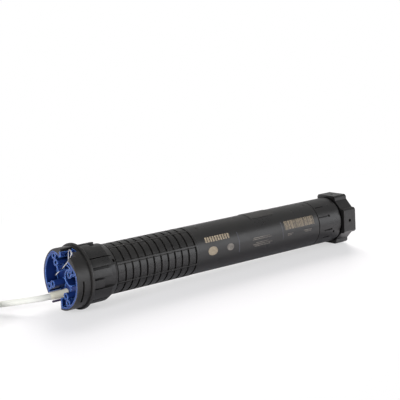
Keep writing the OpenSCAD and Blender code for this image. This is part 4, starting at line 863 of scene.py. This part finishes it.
studio = {"reach": 3000.0, "floorColour": (0.80, 0.79, 0.83), "floorRough": 0.30,
          "floorMirror": 0.10,  # how much darker the floor is in reflections
          "white": 0.56,  # the share of plain white beside the motor
          "whiteNear": 130.0, "whiteFar": 330.0,  # how far away it begins to grow, and is whole
          "squeeze": (0.6, 1.0, 1.0),  # distance along the motor counts for less
          "surround": 0.20, "mirror": 0.45, "sky": (0.95, 0.94, 1.0),
          "lamps": {
              "behind": {"at": (690, 850, 920), "size": (1000, 1000), "power": 38.0,
                         "colour": (1.0, 0.97, 0.925), "mirrored": False},
              "front": {"at": (900, -1150, 450), "size": (1300, 800), "power": 6.6,
                        "colour": (0.96, 0.97, 1.0), "mirrored": True},
              "head": {"at": (-1300, -500, 500), "size": (500, 500), "power": 20.0,
                       "colour": (1.0, 1.0, 1.0), "mirrored": False}}}


# The floor is level under the cable, then rises from the flange to the wheel. It turns to plain white away
# from the motor, and is darker in reflections.
def buildFloor():
    slope = motor["wheelRest"]/(motor["wheelFull"] - motor["flange"])
    reach = studio["reach"]
    columns = np.array([-reach, motor["flange"], reach])
    x, y = np.meshgrid(columns, np.array([-reach, reach]), indexing="ij")
    z = np.maximum(0, slope*(x - motor["flange"]))
    mesh = bpy.data.meshes.new("studioFloor")
    mesh.from_pydata((np.stack([x, y, z], -1).reshape(-1, 3)*mm).tolist(), [],
                     [face[::-1] for face in gridQuads(*x.shape, closeColumns=False)])
    mesh.materials.append(floorMaterial())
    floor = bpy.data.objects.new("studioFloor", mesh)
    bpy.context.scene.collection.objects.link(floor)


# To the camera the floor is its own colour mixed with plain white, whose share grows with the distance from
# the middle. To a reflection it is mixed with a little black.
def floorMaterial():
    material, tree, shader, place = startMaterial("floorWhite")
    shader.inputs["Base Color"].default_value = (*studio["floorColour"], 1.0)
    shader.inputs["Roughness"].default_value = studio["floorRough"]
    glow = addNode(tree, "Emission", {"Color": white, "Strength": 1.0})
    dark = addNode(tree, "Emission", {"Color": black, "Strength": 0.0})
    path = addNode(tree, "LightPath")
    squeezed = addNode(tree, "Mapping", {"Vector": place, "Scale": studio["squeeze"]})
    away = addNode(tree, "VectorMath", {0: squeezed.outputs[0]}, operation="LENGTH").outputs["Value"]
    plain = spread(tree, away, studio["white"], 1.0, studio["whiteNear"]*mm, studio["whiteFar"]*mm)
    share = calculate(tree, "MULTIPLY", path.outputs["Is Camera Ray"], plain)
    seen = blendShaders(tree, share, shader.outputs[0], glow.outputs[0])
    dim = calculate(tree, "MULTIPLY", path.outputs["Is Glossy Ray"], studio["floorMirror"])
    seen = blendShaders(tree, dim, seen, dark.outputs[0])
    tree.links.new(seen, tree.nodes["Material Output"].inputs["Surface"])
    return material


# The surround is plain white to the camera, greyer in reflections and a soft light for the rest
def buildSurround():
    world = bpy.data.worlds.new("studioWorld")
    bpy.context.scene.world = world
    world.use_nodes = True
    tree = world.node_tree
    surround = tree.nodes["Background"]
    surround.inputs["Color"].default_value = (*studio["sky"], 1.0)
    surround.inputs["Strength"].default_value = studio["surround"]
    plain = addNode(tree, "Background", {"Color": white, "Strength": 1.0})
    mirrored = addNode(tree, "Background", {"Color": white, "Strength": studio["mirror"]})
    path = addNode(tree, "LightPath")
    shiny = calculate(tree, "MAXIMUM", path.outputs["Is Glossy Ray"], path.outputs["Is Transmission Ray"])
    seen = blendShaders(tree, shiny, surround.outputs[0], mirrored.outputs[0])
    seen = blendShaders(tree, path.outputs["Is Camera Ray"], seen, plain.outputs[0])
    tree.links.new(seen, tree.nodes["World Output"].inputs["Surface"])


# A lamp looks at the middle: it tilts by the angle of its height and turns by the angle of its place
def buildLamps():
    for name, spec in studio["lamps"].items():
        lamp = bpy.data.lights.new(name, "AREA")
        lamp.shape, lamp.energy, lamp.color = "RECTANGLE", spec["power"], spec["colour"]
        lamp.size, lamp.size_y = (side*mm for side in spec["size"])
        holder = bpy.data.objects.new(name, lamp)
        holder.location = np.array(spec["at"])*mm
        holder.visible_glossy = spec["mirrored"]
        aim = -np.array(spec["at"], float)
        tilt = math.atan2(math.hypot(aim[0], aim[1]), -aim[2])
        holder.rotation_euler = (tilt, 0, math.atan2(aim[1], aim[0]) - math.pi/2)
        bpy.context.scene.collection.objects.link(holder)


buildFloor()
buildSurround()
buildLamps()
bpy.context.scene.view_settings.view_transform = "Standard"
print("studio lit")
